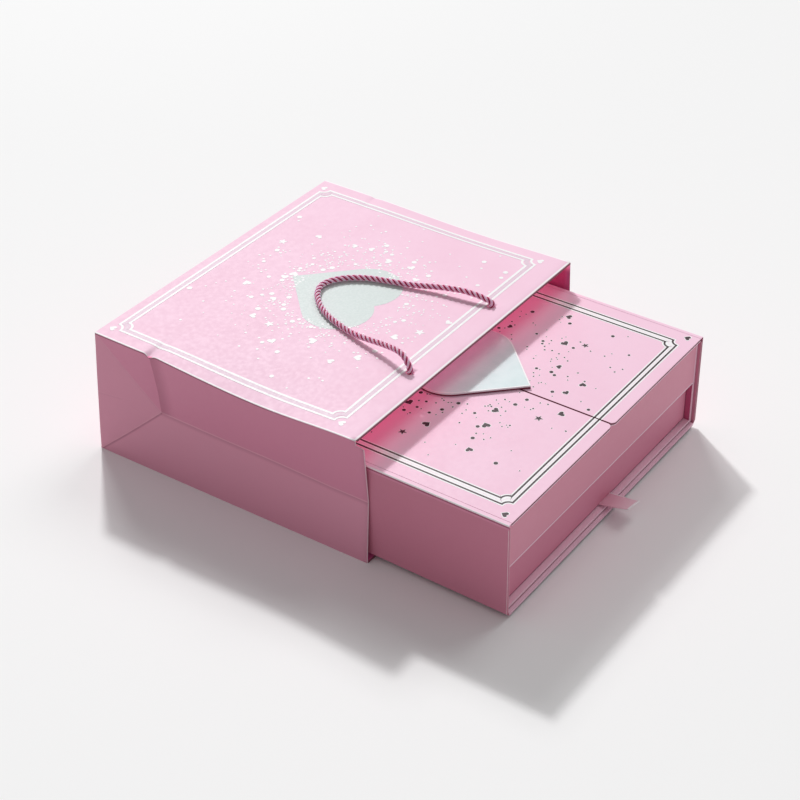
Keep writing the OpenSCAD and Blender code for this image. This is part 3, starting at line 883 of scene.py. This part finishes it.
def buildBag():
    bm = bmesh.new()
    bmesh.ops.create_cube(bm, size=1)
    mouth = [f for f in bm.faces if f.calc_center_median().y < -0.4]
    bmesh.ops.delete(bm, geom=mouth, context="FACES_ONLY")
    count = bag["segments"]
    bmesh.ops.subdivide_edges(bm, edges=bm.edges, cuts=count - 1, use_grid_fill=True)
    rows = bagStations()
    levels = heightRows()
    widest = math.sin(0.4 * math.pi)
    for v in bm.verts:
        column = round((v.co.x + 0.5) * count)
        v.co.x = bagHalf * math.sin(v.co.x * 0.8 * math.pi) / widest
        if column in (1, count - 1):
            v.co.x = math.copysign(bagHalf - bag["hemSideGap"], v.co.x)
        v.co.y = rows[round((v.co.y + 0.5) * count)]
        v.co.z = levels[round((v.co.z + 0.5) * count)]
    for toTop in (True, False):  # real edges along the triangle's two slanting creases
        corner = bagTop if toTop else 0
        slant = Vector((0, endY - apexY, corner - creaseZ)).normalized()
        faces = [
            f for f in bm.faces
            if abs(f.calc_center_median().x) > bagHalf - 0.01 * mm
            and f.calc_center_median().y > apexY
            and (f.calc_center_median().z > creaseZ) == toTop
        ]
        geom = unique(g for f in faces for g in (f, *f.edges, *f.verts))
        bmesh.ops.bisect_plane(
            bm, geom=geom, dist=0.02 * mm, plane_co=(0, apexY, creaseZ),
            plane_no=Vector((1, 0, 0)).cross(slant),
        )
    turnHem(bm, True)
    turnHem(bm, False)
    frontHole = holeY - bag["setback"]
    backHole = backLow.y + holeY - panelLow.y
    for side in (-1, 1):
        for level in (bagTop, bagTop - bag["hemStack"]):
            punchHole(bm, Vector((side * rope["span"] / 2, frontHole, level)), rope["holeRadius"])
        for level in (0, bag["hemStack"]):
            punchHole(bm, Vector((side * rope["span"] / 2, backHole, level)), rope["holeRadius"])
    bmesh.ops.recalc_face_normals(bm, faces=bm.faces)
    top = max(bm.faces, key=lambda f: f.calc_center_median().z)
    if top.normal.z < 0:
        bmesh.ops.reverse_faces(bm, faces=bm.faces)
    foldSheet(bm)
    bm.normal_update()
    smoothFaces(bm)
    for edge in bm.edges:
        if len(edge.link_faces) == 2 and edge.calc_face_angle(0) > bag["sharpFold"]:
            edge.smooth = False
    outside = bagFinish()
    sheet = newPiece(
        "carrier_bag", bm, [outside, liningFinish()], "bag",
        ["bag_front_panel", "bag_back_panel", "bag_left_gusset", "bag_right_gusset", "bag_end_panel"],
    )
    thicken(sheet, bag["paper"], -1, innerFinish=1)
    for v in sheet.data.vertices:
        v.co.z = max(v.co.z, 0)
    print("bag folded,", len(sheet.data.polygons), "faces")
    return outside


bagPaper = buildBag()


def buildEndFlap(paperFinish):
    # the outer flap glued over the closed end, its two sides folded in at 45 degrees
    bm = bmesh.new()
    bmesh.ops.create_grid(bm, x_segments=24, y_segments=12, size=0.5)
    blank = bm.verts.layers.float_vector.new("blank")
    for v in bm.verts:
        z = bag["paper"] + bag["flapHeight"] * (v.co.y + 0.5)
        half = bagHalf + bag["flare"] * (1 - z / bagTop) - (z - bag["paper"])
        y = endY + bag["lean"] * (1 - z / bagTop)
        v[blank] = (v.co.x * bagHalf, y - 5 * mm, z)
        v.co = Vector((2 * half * v.co.x, y, z))
    faceAlong(bm, 1)
    flap = newPiece("bag_end_flap", bm, [paperFinish], "bag")
    thicken(flap, bag["paper"], 1)


buildEndFlap(bagPaper)


def buildHemCard():
    # the card strip in the front hem, bent with the panel over it
    bm = bmesh.new()
    low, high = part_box("front_hem_card")
    bmesh.ops.create_grid(bm, x_segments=40, y_segments=8, size=0.5)
    level = bagTop - bag["paper"] - 0.02 * mm
    endGap = 2 * mm
    for v in bm.verts:
        v.co = Vector((
            2 * (high.x - endGap) * v.co.x,
            low.y - bag["setback"] + (high.y - low.y) * (v.co.y + 0.5),
            level,
        ))
    for side in (-1, 1):
        centre = Vector((side * rope["span"] / 2, holeY - bag["setback"], level))
        punchHole(bm, centre, rope["holeRadius"])
    faceAlong(bm, 2)
    for v in bm.verts:
        v.co = folded(v.co)
    card = plainFinish("grey_card", "card", 1.2 * mm, 0.85, 0.04 * mm)
    strip = newPiece("hem_card_strip", bm, [card], "bag", ["front_hem_card"])
    thicken(strip, high.z - low.z - 0.04 * mm, -1)
    return card


cardFinish = buildHemCard()


def heartOutline(t):  # a plain heart with its point at -Y, about 1 wide
    return Vector((
        0.5 * math.sin(t) ** 3,
        (13 * math.cos(t) - 5 * math.cos(2 * t) - 2 * math.cos(3 * t) - math.cos(4 * t)) / 32,
    ))


def stamp(bm, kind, spot, size, turn, surface, lift, index):  # one dot, heart or star of ink
    sides = {"dot": 10, "heart": 24, "star": 10}[kind]
    ring = bmesh.ops.create_circle(bm, cap_ends=True, segments=sides, radius=size / 2)["verts"]
    swing = Matrix.Rotation(turn, 2)
    for i, v in enumerate(ring):
        flat = v.co.xy.copy()
        if kind == "heart":
            flat = heartOutline(math.tau * i / sides) * size
        if kind == "star" and i % 2:
            flat *= 0.42
        flat = swing @ flat + spot
        v.co = Vector((flat.x, flat.y, surface(flat.x, flat.y) + lift))
    coverFaces(ring, index)


def scooped(low, high, notch, step):
    # a rectangle whose corners are scooped out, as a closed run of points
    corners = [(high.x, low.y, 180), (high.x, high.y, 270), (low.x, high.y, 0), (low.x, low.y, 90)]
    arcs = []
    for x, y, start in corners:
        angles = [math.radians(start - 90 * k / 8) for k in range(9)]
        arcs.append([Vector((x, y)) + towards(a) * notch for a in angles])
    path = []
    for i, arc in enumerate(arcs):
        begin = arc[-1]
        stop = arcs[(i + 1) % 4][0]
        count = max(2, round((stop - begin).length / step))
        path += arc + [begin.lerp(stop, k / count) for k in range(1, count)]
    return path


def oneSide(path, side, edge):  # the part of a closed run of points that lies on one side of the seam
    kept = [p.x * side > edge for p in path]
    start = next(i for i in range(len(path)) if kept[i] and not kept[i - 1])
    run = [path[(start + i) % len(path)] for i in range(sum(kept))]
    return [Vector((side * edge, run[0].y))] + run + [Vector((side * edge, run[-1].y))]


def across(path, i, closed):  # square to the line, and longer in a corner to keep the width
    steps = []
    if closed or i > 0:
        steps.append(path[i % len(path)] - path[i - 1])
    if closed or i < len(path) - 1:
        steps.append(path[(i + 1) % len(path)] - path[i % len(path)])
    out = [Vector((d.y, -d.x)).normalized() for d in steps]
    return (out[0] + out[-1]) / (1 + out[0].dot(out[-1]))


def trimLine(bm, path, width, surface, lift, index, closed=True):  # a line of ink along a path, printed or a painted highlight
    spans = len(path) if closed else len(path) - 1
    made = bmesh.ops.create_grid(bm, x_segments=1, y_segments=spans, size=0.5)["verts"]
    for v in made:
        i = round((v.co.y + 0.5) * spans)
        spot = path[i % len(path)] + across(path, i % len(path), closed) * (v.co.x * width)
        v.co = Vector((spot.x, spot.y, surface(spot.x, spot.y) + lift))
    coverFaces(made, index)
    if closed:
        bmesh.ops.remove_doubles(bm, verts=made, dist=0.001 * mm)


def inkFinish(name, tone, roughness):
    return plainFinish(name, tone, 1.6 * mm, roughness, 0.006 * mm)


def scatter(draw, drops, middle, clear, mark):  # drops round a middle, thinning out away from it
    for count, reach, size, spread in drops:
        for _ in range(count):
            angle = draw.uniform(0, math.tau)
            spot = middle + towards(angle) * (clear(angle) + draw.expovariate(1 / reach))
            mark(spot, draw.uniform(size - spread, size + spread))


def facingUp(bm):
    bm.normal_update()
    down = [f for f in bm.faces if f.normal.z < 0]
    bmesh.ops.reverse_faces(bm, faces=down)


bagPrint = {
    "seed": 7,
    "sideInset": 10 * mm,
    "endInset": 6.5 * mm,
    "mouthInset": 17.6 * mm,
    "lineGap": 4.2 * mm,
    "line": 1.5 * mm,
    "notch": 5 * mm,
    "cornerHeart": 5 * mm,
    "heartWidth": 75 * mm,
    "heartLength": 69 * mm,
    "heartTipFromEnd": 58.6 * mm,
    "heartX": 3 * mm,
    "notchDepth": 6 * mm,
    "drops": (  # how many, how soon they thin out, their size and how much it varies
        (56, 40 * mm, 3.0 * mm, 0.6 * mm),
        (330, 26 * mm, 1.55 * mm, 0.3 * mm),
        (420, 13 * mm, 0.95 * mm, 0.25 * mm),
    ),
    "motifs": 22,
    "motifSize": (4.6, 6.2),
    "motifReach": (8, 48),
    "lift": 0.08 * mm,
}
starGrowth = 1.2  # stars are this much larger than hearts


def bigHeart(width, length, notchDepth):
    # outline from two circles and their tangents to the point: point at the origin, lobes to +Y
    steps = 18
    half = width / 2
    lobe = half + notchDepth - math.sqrt(2 * half * notchDepth)
    c = half - lobe
    h = length - lobe
    first = math.atan2(h, c) - math.asin(lobe / math.hypot(c, h)) - math.pi / 2
    crossing = math.acos(-c / lobe)
    points = [Vector((0, 0))]
    for i in range(steps + 1):
        angle = first + (crossing - first) * i / steps
        points.append(Vector((c + lobe * math.cos(angle), h + lobe * math.sin(angle))))
    mirrored = [Vector((-p.x, p.y)) for p in reversed(points[1:-1])]
    return points + mirrored


def claimed(taken, spot, size):  # keeps a place for one motif, if nothing is printed there yet
    if any((spot - other).length < (size + otherSize) / 2 for other, otherSize in taken):
        return False
    taken.append((spot, size))
    return True


def buildBagPrint():
    draw = random.Random(bagPrint["seed"])
    low = Vector((-bagHalf + bagPrint["sideInset"], panelLow.y + bagPrint["mouthInset"]))
    high = Vector((bagHalf - bagPrint["sideInset"], endY - bagPrint["endInset"]))
    gap = bagPrint["lineGap"]
    inner = Vector((gap, gap))
    bm = bmesh.new()
    lift = bagPrint["lift"]
    lines = [
        (inner / 2, gap - bagPrint["line"], 0.9, 1),
        (inner * 0, bagPrint["line"], 1.2, 0),
        (inner, bagPrint["line"], 1.2, 0),
    ]
    for inset, width, rise, index in lines:
        path = scooped(low + inset, high - inset, bagPrint["notch"], 1.5 * mm)
        trimLine(bm, path, width, panelHeight, lift * rise, index)
    outward = 0.5 * mm
    for x in (low.x - outward, high.x + outward):
        for y in (low.y - outward, high.y + outward):
            stamp(bm, "heart", Vector((x, y)), bagPrint["cornerHeart"], math.pi, panelHeight, lift, 0)
    outline = bigHeart(bagPrint["heartWidth"], bagPrint["heartLength"], bagPrint["notchDepth"])
    tip = Vector((bagPrint["heartX"], endY - bagPrint["heartTipFromEnd"]))
    ring = bmesh.ops.create_circle(bm, cap_ends=True, segments=len(outline), radius=mm)["verts"]
    for v, p in zip(ring, outline):
        spot = tip - p
        v.co = Vector((spot.x, spot.y, panelHeight(spot.x, spot.y) + lift * 0.6))
    coverFaces(ring, 2)
    centre = tip - Vector((0, bagPrint["heartLength"] * 0.55))
    areaLow = low + inner * 1.5
    areaHigh = high - inner * 1.5

    def clear(angle):  # distance from the heart's middle to its outline
        return 34 * mm - 5 * mm * math.sin(angle) * abs(math.sin(angle))

    def fits(spot):
        return areaLow.x < spot.x < areaHigh.x and areaLow.y < spot.y < areaHigh.y

    taken = []
    for i in range(bagPrint["motifs"]):
        angle = math.tau * (i + draw.uniform(-0.3, 0.3)) / bagPrint["motifs"]
        spot = centre + towards(angle) * (clear(angle) + draw.uniform(*bagPrint["motifReach"]) * mm)
        kind = "star" if i % 6 == 4 else "heart"
        size = draw.uniform(*bagPrint["motifSize"]) * mm * (starGrowth if kind == "star" else 1)
        turn = draw.uniform(0, math.tau)
        if fits(spot) and claimed(taken, spot, size):
            stamp(bm, kind, spot, size, turn, panelHeight, lift, 0)

    def drop(spot, width):
        if fits(spot) and claimed(taken, spot, width):
            stamp(bm, "dot", spot, width, 0, panelHeight, lift, 0)

    scatter(draw, bagPrint["drops"], centre, clear, drop)
    facingUp(bm)
    white = inkFinish("white_ink_and_highlight", "white", 0.5)
    gapInk = inkFinish("shaded_ink", "inkGap", 0.5)
    pearl = inkFinish("pearl_ink", "pearl", 0.45)
    newPiece("bag_print", bm, [white, gapInk, pearl], "bag")
    print("bag printed")
    return white


whiteInkAndHighlight = buildBagPrint()


doorLow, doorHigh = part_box("left_door_wrap")
plaqueLow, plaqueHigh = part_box("heart_plaque")
doorTop = doorHigh.z
doorPrint = {
    "seed": 21,
    "outer": Vector((96.3, 8.9)) * mm,
    "inner": Vector((92.0, 12.2)) * mm,
    "line": 1.15 * mm,
    "halo": 0.85 * mm,
    "centreLine": 0.6 * mm,
    "notch": 4.2 * mm,
    "cornerHeart": 4.4 * mm,
    "seam": 0.45 * mm,
    "clear": 37 * mm,
    "drops": (
        (60, 34 * mm, 2.2 * mm, 0.5 * mm),
        (300, 26 * mm, 1.0 * mm, 0.3 * mm),
    ),
    "motifs": 26,
    "motifSize": (3.8, 5.2),
    "motifReach": (43, 88),
    "lift": 0.05 * mm,
}


def buildDoorPrint(name, body, side, inks):
    draw = random.Random(doorPrint["seed"] + (0 if side < 0 else 1))
    lift = doorPrint["lift"]
    bm = bmesh.new()

    def flat(x, y):
        return doorTop

    def line(place, width, rise, index):  # place is from the box's middle, and in from its front edge
        low = Vector((-place.x, doorLow.y + place.y))
        high = Vector((place.x, doorHigh.y - place.y))
        path = oneSide(scooped(low, high, doorPrint["notch"], 4 * mm), side, doorPrint["seam"])
        trimLine(bm, path, width, flat, lift * rise, index, closed=False)

    middle = (doorPrint["outer"] + doorPrint["inner"]) / 2
    # each dark line has a white halo: painted highlight
    for place in (doorPrint["outer"], doorPrint["inner"]):
        line(place, doorPrint["line"] + 2 * doorPrint["halo"], 0.5, 1)
        line(place, doorPrint["line"], 1.2, 0)
    line(middle, 3.3 * mm, 0.7, 1)
    line(middle, doorPrint["centreLine"], 0.9, 2)
    heartX = doorPrint["outer"].x + 6.5 * mm
    for y in (doorLow.y + 7 * mm, doorHigh.y - 7 * mm):
        spot = Vector((side * heartX, y))
        stamp(bm, "heart", spot, doorPrint["cornerHeart"] + 1.2 * mm, math.pi, flat, lift * 0.5, 1)
        stamp(bm, "heart", spot, doorPrint["cornerHeart"], math.pi, flat, lift * 1.2, 0)
    centre = Vector((
        (plaqueLow.x + plaqueHigh.x) / 2 + 0.5 * mm,
        plaqueLow.y + (plaqueHigh.y - plaqueLow.y) * 0.6,
    ))

    taken = []

    def mark(kind, spot, size, room, halo):
        inside = doorPrint["seam"] + room < spot.x * side < doorPrint["inner"].x - 3 * mm
        fromMiddle = abs(spot.y - (doorLow.y + doorHigh.y) / 2)
        inside = inside and fromMiddle < (doorHigh.y - doorLow.y) / 2 - 15.5 * mm
        if inside and claimed(taken, spot, size + halo):
            turn = draw.uniform(0, math.tau)
            # a white halo under each mark: painted highlight
            stamp(bm, kind, spot, size + halo, turn, flat, lift * 0.5, 1)
            stamp(bm, kind, spot, size, turn, flat, lift * 1.2, 0)

    for i in range(doorPrint["motifs"]):
        angle = math.tau * (i + draw.uniform(-0.4, 0.4)) / doorPrint["motifs"]
        spot = centre + towards(angle) * (draw.uniform(*doorPrint["motifReach"]) * mm)
        kind = "star" if i % 5 == 3 else "heart"
        size = draw.uniform(*doorPrint["motifSize"]) * mm * (starGrowth if kind == "star" else 1)
        mark(kind, spot, size, 3.5 * mm, 0.9 * mm)
    scatter(
        draw, doorPrint["drops"], centre, lambda angle: doorPrint["clear"],
        lambda spot, width: mark("dot", spot, width, 1.4 * mm, 0.5 * mm),
    )
    facingUp(bm)
    newPiece(name, bm, inks, body)


doorInks = [
    inkFinish("dark_foil", "foil", 0.45),
    whiteInkAndHighlight,
    inkFinish("band_ink", "bandInk", 0.5),
]
buildDoorPrint("left_door_print", "left_door", -1, doorInks)
buildDoorPrint("right_door_print", "right_door", 1, doorInks)
print("doors printed")


plaque = {
    "width": 74 * mm,
    "notchDepth": 6 * mm,
    "rim": 0.8 * mm,
    "lift": 0.03 * mm,
    "shadeLine": 1.25 * mm,
}


def buildPlaqueHighlight():  # a white line round the plaque's face: a painted highlight on its bevelled edge
    low, high = plaqueLow, plaqueHigh
    outline = bigHeart(plaque["width"], high.y - low.y, plaque["notchDepth"])
    tip = Vector(((low.x + high.x) / 2, low.y))
    path = [tip + p - across(outline, i, True) * plaque["rim"] / 2 for i, p in enumerate(outline)]
    bm = bmesh.new()
    trimLine(bm, path, plaque["rim"], lambda x, y: high.z, plaque["lift"], 0)
    facingUp(bm)
    newPiece("plaque_highlight_rim", bm, [whiteInkAndHighlight], "right_door")


def plaqueFinish():
    finish = Finish("pearl_board", Coat_Weight=0.15)
    place = finish.place()
    z = finish.parts(place)[2]
    clouds = finish.noise(place, 9 * mm, 4.0, 0.6)
    face = finish.mix(finish.ramp(clouds, 0.3, 0.7), colours["plaque"], colours["plaqueCloud"])
    # the side faces white: painted highlight; a dark band low on the sides: painted shade
    side = finish.ramp(z, plaqueHigh.z - 0.25 * mm, plaqueHigh.z - 0.1 * mm)
    tone = finish.mix(side, colours["white"], face)
    shade = plaqueLow.z + plaque["shadeLine"]
    tone = finish.mix(finish.ramp(z, shade + 0.15 * mm, shade - 0.15 * mm), tone, colours["shadeMaroon"])
    tooth = finish.noise(place, 1.5 * mm, 3.0, 0.7)
    rough = finish.ramp(clouds, 0.2, 0.8, 0.36, 0.46)
    return finish.wear(Base_Color=tone, Roughness=rough, Normal=finish.bump(tooth, 0.01 * mm))


buildPlaqueHighlight()
print("plaque edged")


def dressNode(name, material):
    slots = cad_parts[name].material_slots
    if not slots:
        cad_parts[name].data.materials.append(material)
    for holder in slots:
        holder.material = material


def hingePaper(name, low, high):
    # the cover's paper bent round the box's top edge: the lit tone on top and the side tone below as
    # painted light and shade, pale along the bend as wear and painted highlight, and a painted shade line
    # under it
    finish, place, (x, _, z), scuffs = startPaper(name)
    outward = high.x if high.x > 0 else -low.x
    toTop = high.z - z
    tone = finish.mix(finish.ramp(toTop, 0.6 * mm, 0.25 * mm), colours["side"], colours["lit"])
    tone = clouded(finish, place, tone)
    dark = finish.ramp(toTop, 1.9 * mm, 1.5 * mm) * finish.ramp(toTop, 0.7 * mm, 1.0 * mm)
    tone = finish.mix(dark * 0.7, tone, colours["shadeMaroon"])
    bend = finish.ramp(outward - abs(x), 0.95 * mm, 0.45 * mm) * finish.ramp(toTop, 0.85 * mm, 0.5 * mm)
    tone = finish.mix(bend * finish.ramp(scuffs, 0.2, 0.45, 0.7, 0.95), tone, colours["worn"])
    return paperShine(finish, place, tone, scuffs)


def doorPaper(name, low, high):
    # the print's tone, pale at the front and rear edges as wear and painted highlight, dark where the paper
    # turns down into the seam as painted shade
    finish, place, parts, scuffs = startPaper(name)
    edge = nearEdge(finish, parts, low, high, "y") + (scuffs - 0.5) * paper["ragged"]
    tone = clouded(finish, place, colours["lit"])
    tone = finish.mix(finish.ramp(edge, 0.25 * mm, 0.65 * mm, 1.0, 0.0), tone, colours["worn"])
    # darker towards the seam: painted shade
    seam = finish.ramp(abs(parts[0]), doorPrint["seam"] + 0.35 * mm, doorPrint["seam"] + 0.05 * mm)
    return paperShine(finish, place, finish.mix(seam, tone, colours["shadeMaroon"]), scuffs)


def dressBoards():
    # the bands paint shade lines in dark maroon and highlight lines in pale tones along the boards' edges,
    # and the board tones are lit or shaded copies of the one pink paper
    doorEdgeHighlightAndShade = (("z", -0.1, 0.55, "worn", 0.5), ("z", 0.55, 1.7, "shadeMaroon", 0.95))
    wallEndHighlight = (("y", -0.1, 0.3, "litLedge", 0.8),)
    boards = {  # tone, the axes whose edges lie open, and bands: axis, from, to in mm, tone, share
        "cover_base_board": ("litLedge", "y", (("z", -0.1, 0.3, "shadeMaroon", 0.6), ("y", 0.0, 0.25, "tray", 0.35))),
        "cover_left_board": ("boxShadedSide", "xy", ()),
        "cover_right_board": ("boxShadedSide", "xy", (("y", -0.1, 0.2, "shadeMaroon", 0.45),)),
        "left_base_hinge": ("boxShadedSide", "y", ()),
        "right_base_hinge": ("boxShadedSide", "y", (("y", -0.1, 0.2, "litLedge", 0.6),)),
        "left_door_board": ("lit", "", doorEdgeHighlightAndShade),
        "right_door_board": ("lit", "", doorEdgeHighlightAndShade),
        "frame_floor": ("litLedge", "yz", (("z", -0.1, 1.0, "shadeMaroon", 0.8),)),
        "frame_left_wall": ("recessShade", "", wallEndHighlight),
        "frame_right_wall": ("recessShade", "", wallEndHighlight),
        "frame_rear_wall": ("boxShadedSide", "z", ()),
        "tray_floor": ("inside", "y", ()),
        "tray_front_wall": ("tray", "", (
            ("z", -0.1, 0.8, "lit", 0.9), ("z", -0.1, 0.4, "worn", 0.6), ("z", 30.2, 31, "worn", 0.35),
        )),
        "drawer_front": ("drawer", "z", (("z", 26.1, 27.7, "shadeMaroon", 0.9), ("z", -0.1, 0.7, "shadeMaroon", 0.6))),
        "drawer_rear": ("inside", "z", ()),
        "drawer_left_side": ("inside", "z", ()),
        "drawer_right_side": ("inside", "z", ()),
        "drawer_bottom": ("inside", "y", ()),
    }
    for name, (tone, openAxes, bands) in boards.items():
        low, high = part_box(name)
        dressNode(name, boardPaper(name + "_paper", low, high, tone, openAxes, bands))
    for side in ("left", "right"):
        for part, paperOf in (("door_hinge", hingePaper), ("door_wrap", doorPaper)):
            name = side + "_" + part
            dressNode(name, paperOf(name + "_paper", *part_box(name)))
    dressNode("heart_plaque", plaqueFinish())
    steel = plainFinish("magnet_steel", "steel", 1 * mm, 0.32, 0.01 * mm, Metallic=1.0)
    for name in ("plaque_magnet", "door_keeper"):
        dressNode(name, steel)
    for name in ("back_hem_card", "bag_end_card"):
        dressNode(name, cardFinish)


dressBoards()
print("boards papered")


ribbonLow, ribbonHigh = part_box("ribbon_pull")
ribbon = {
    "thickness": 0.36 * mm,
    "columns": 20,
    "rows": 60,
    "rib": 0.42 * mm,
    "thread": 0.33 * mm,
    "curl": 0.25 * mm,
    "twist": 1.4 * mm,
    "selvedge": 0.9 * mm,
}


def ribbonFinish(rootY):
    finish = Finish("woven_ribbon", Sheen_Weight=0.3, Sheen_Roughness=0.35)
    x, y, _ = finish.parts(finish.place())
    ribs = finish.reckon("SINE", y * (math.tau / ribbon["rib"]))
    threads = finish.reckon("SINE", x * (math.tau / ribbon["thread"]))
    weave = ribs * 0.7 + threads * 0.3
    # a pale line along the right edge and the cut end: painted highlight; paler towards the tip: painted
    # light; a little darker in the weave's hollows: painted shade
    rightEdgeHighlight = finish.ramp(x, ribbonHigh.x - ribbon["selvedge"], ribbonHigh.x - ribbon["selvedge"] / 2)
    cutEndHighlight = finish.ramp(y, ribbonLow.y + 1.5 * mm, ribbonLow.y + 0.9 * mm)
    litTip = finish.ramp(y, rootY, ribbonLow.y)
    colour = finish.mix(litTip, colours["ribbon"], colours["ribbonLitTip"])
    colour = finish.mix(finish.ramp(weave, -0.8, 0.8, 0.18, 0.0), colour, colours["side"])
    colour = finish.mix(finish.higher(rightEdgeHighlight * 0.8, cutEndHighlight), colour, colours["worn"])
    rough = finish.ramp(weave, -1, 1, 0.55, 0.42)
    return finish.wear(Base_Color=colour, Roughness=rough, Normal=finish.bump(weave, 0.03 * mm, 0.8))


def buildRibbon():
    bm = bmesh.new()
    bmesh.ops.create_grid(bm, x_segments=ribbon["columns"], y_segments=ribbon["rows"], size=0.5)
    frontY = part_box("drawer_front")[0].y
    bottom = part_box("drawer_bottom")[0].z
    rise = ribbonHigh.z - bottom
    underside = bottom - ribbon["thickness"] - 0.02 * mm
    for v in bm.verts:
        side = v.co.x
        y = ribbonLow.y + (ribbonHigh.y - ribbonLow.y) * (v.co.y + 0.5)
        out = share(frontY, ribbonLow.y, y)
        lift = rise * out ** 1.2 + ribbon["curl"] * out * math.cos(side * math.pi * 2) * 0.5
        lift -= 2 * side * ribbon["twist"] * out ** 1.5
        x = (ribbonLow.x + ribbonHigh.x) / 2 + (ribbonHigh.x - ribbonLow.x) * side
        v.co = Vector((x, y, underside + lift))
    faceAlong(bm, 2)
    smoothFaces(bm)
    strip = newPiece("ribbon_tab", bm, [ribbonFinish(frontY)], "drawer", ["ribbon_pull"])
    thicken(strip, ribbon["thickness"], 1)
    print("ribbon woven")


buildRibbon()


stageValues = {
    "floor": 12.0,
    "floorShade": (0.7, 1.4),
    "sky": 0.34,
    "background": 1.0,
    "key": {"place": Vector((0.79, 0.93, 1.25)), "strength": 1.55, "radius": 0.06},
    "suns": [  # name, where it shines from, strength, how wide its disc is in degrees
        ("haze", Vector((0.80, 0.88, 1.0)), 0.72, 14),
        ("side", Vector((0.86, -0.08, 1.0)), 0.54, 28),
    ],
}


def addSun(name, towards, strength, spread):
    lamp = bpy.data.lights.new(name, "SUN")
    lamp.energy = strength
    lamp.angle = math.radians(spread)
    holder = bpy.data.objects.new(name, lamp)
    holder.rotation_euler = towards.to_track_quat("Z", "Y").to_euler()
    bpy.context.scene.collection.objects.link(holder)


def addKey(place, strength, radius):
    # a near lamp whose light doesn't fade with distance, only the angle of its shadows changes
    lamp = bpy.data.lights.new("key", "POINT")
    lamp.energy = strength * 4 * math.pi
    lamp.shadow_soft_size = radius
    lamp.use_nodes = True
    nodes = lamp.node_tree.nodes
    even = nodes.new("ShaderNodeLightFalloff")
    even.inputs["Strength"].default_value = 1.0
    lamp.node_tree.links.new(even.outputs["Constant"], nodes["Emission"].inputs["Strength"])
    holder = bpy.data.objects.new("key", lamp)
    holder.location = place
    bpy.context.scene.collection.objects.link(holder)


def floorFinish():  # a little greyer under the near lamp, so that the floor looks evenly lit
    finish = Finish("floor", Specular_IOR_Level=0.2, Roughness=0.7)
    foot = Vector((*stageValues["key"]["place"].xy, 0))
    away = finish.node(
        "ShaderNodeVectorMath", {"operation": "DISTANCE"}, {0: finish.place(), 1: foot}, output=1
    )
    fromLamp = finish.ramp(away, *stageValues["floorShade"])
    return finish.wear(Base_Color=finish.mix(fromLamp, colours["floorNear"], colours["floor"]))


def setStage():
    bm = bmesh.new()
    bmesh.ops.create_grid(bm, x_segments=1, y_segments=1, size=stageValues["floor"] / 2)
    mesh = bpy.data.meshes.new("floor")
    bm.to_mesh(mesh)
    bm.free()
    floor = bpy.data.objects.new("floor", mesh)
    bpy.context.scene.collection.objects.link(floor)
    mesh.materials.append(floorFinish())
    addKey(**stageValues["key"])
    for sun in stageValues["suns"]:
        addSun(*sun)
    world = bpy.data.worlds.new("studio")
    bpy.context.scene.world = world
    world.use_nodes = True
    nodes = world.node_tree.nodes
    links = world.node_tree.links
    sky = nodes["Background"]
    sky.inputs["Color"].default_value = (1, 1, 1, 1)
    sky.inputs["Strength"].default_value = stageValues["sky"]
    seen = nodes.new("ShaderNodeBackground")
    seen.inputs["Color"].default_value = (1, 1, 1, 1)
    seen.inputs["Strength"].default_value = stageValues["background"]
    rays = nodes.new("ShaderNodeLightPath")
    either = nodes.new("ShaderNodeMixShader")
    links.new(rays.outputs["Is Camera Ray"], either.inputs[0])
    links.new(sky.outputs[0], either.inputs[1])
    links.new(seen.outputs[0], either.inputs[2])
    links.new(either.outputs[0], nodes["World Output"].inputs[0])
    bpy.context.scene.view_settings.view_transform = "Standard"


setStage()
print("stage set")
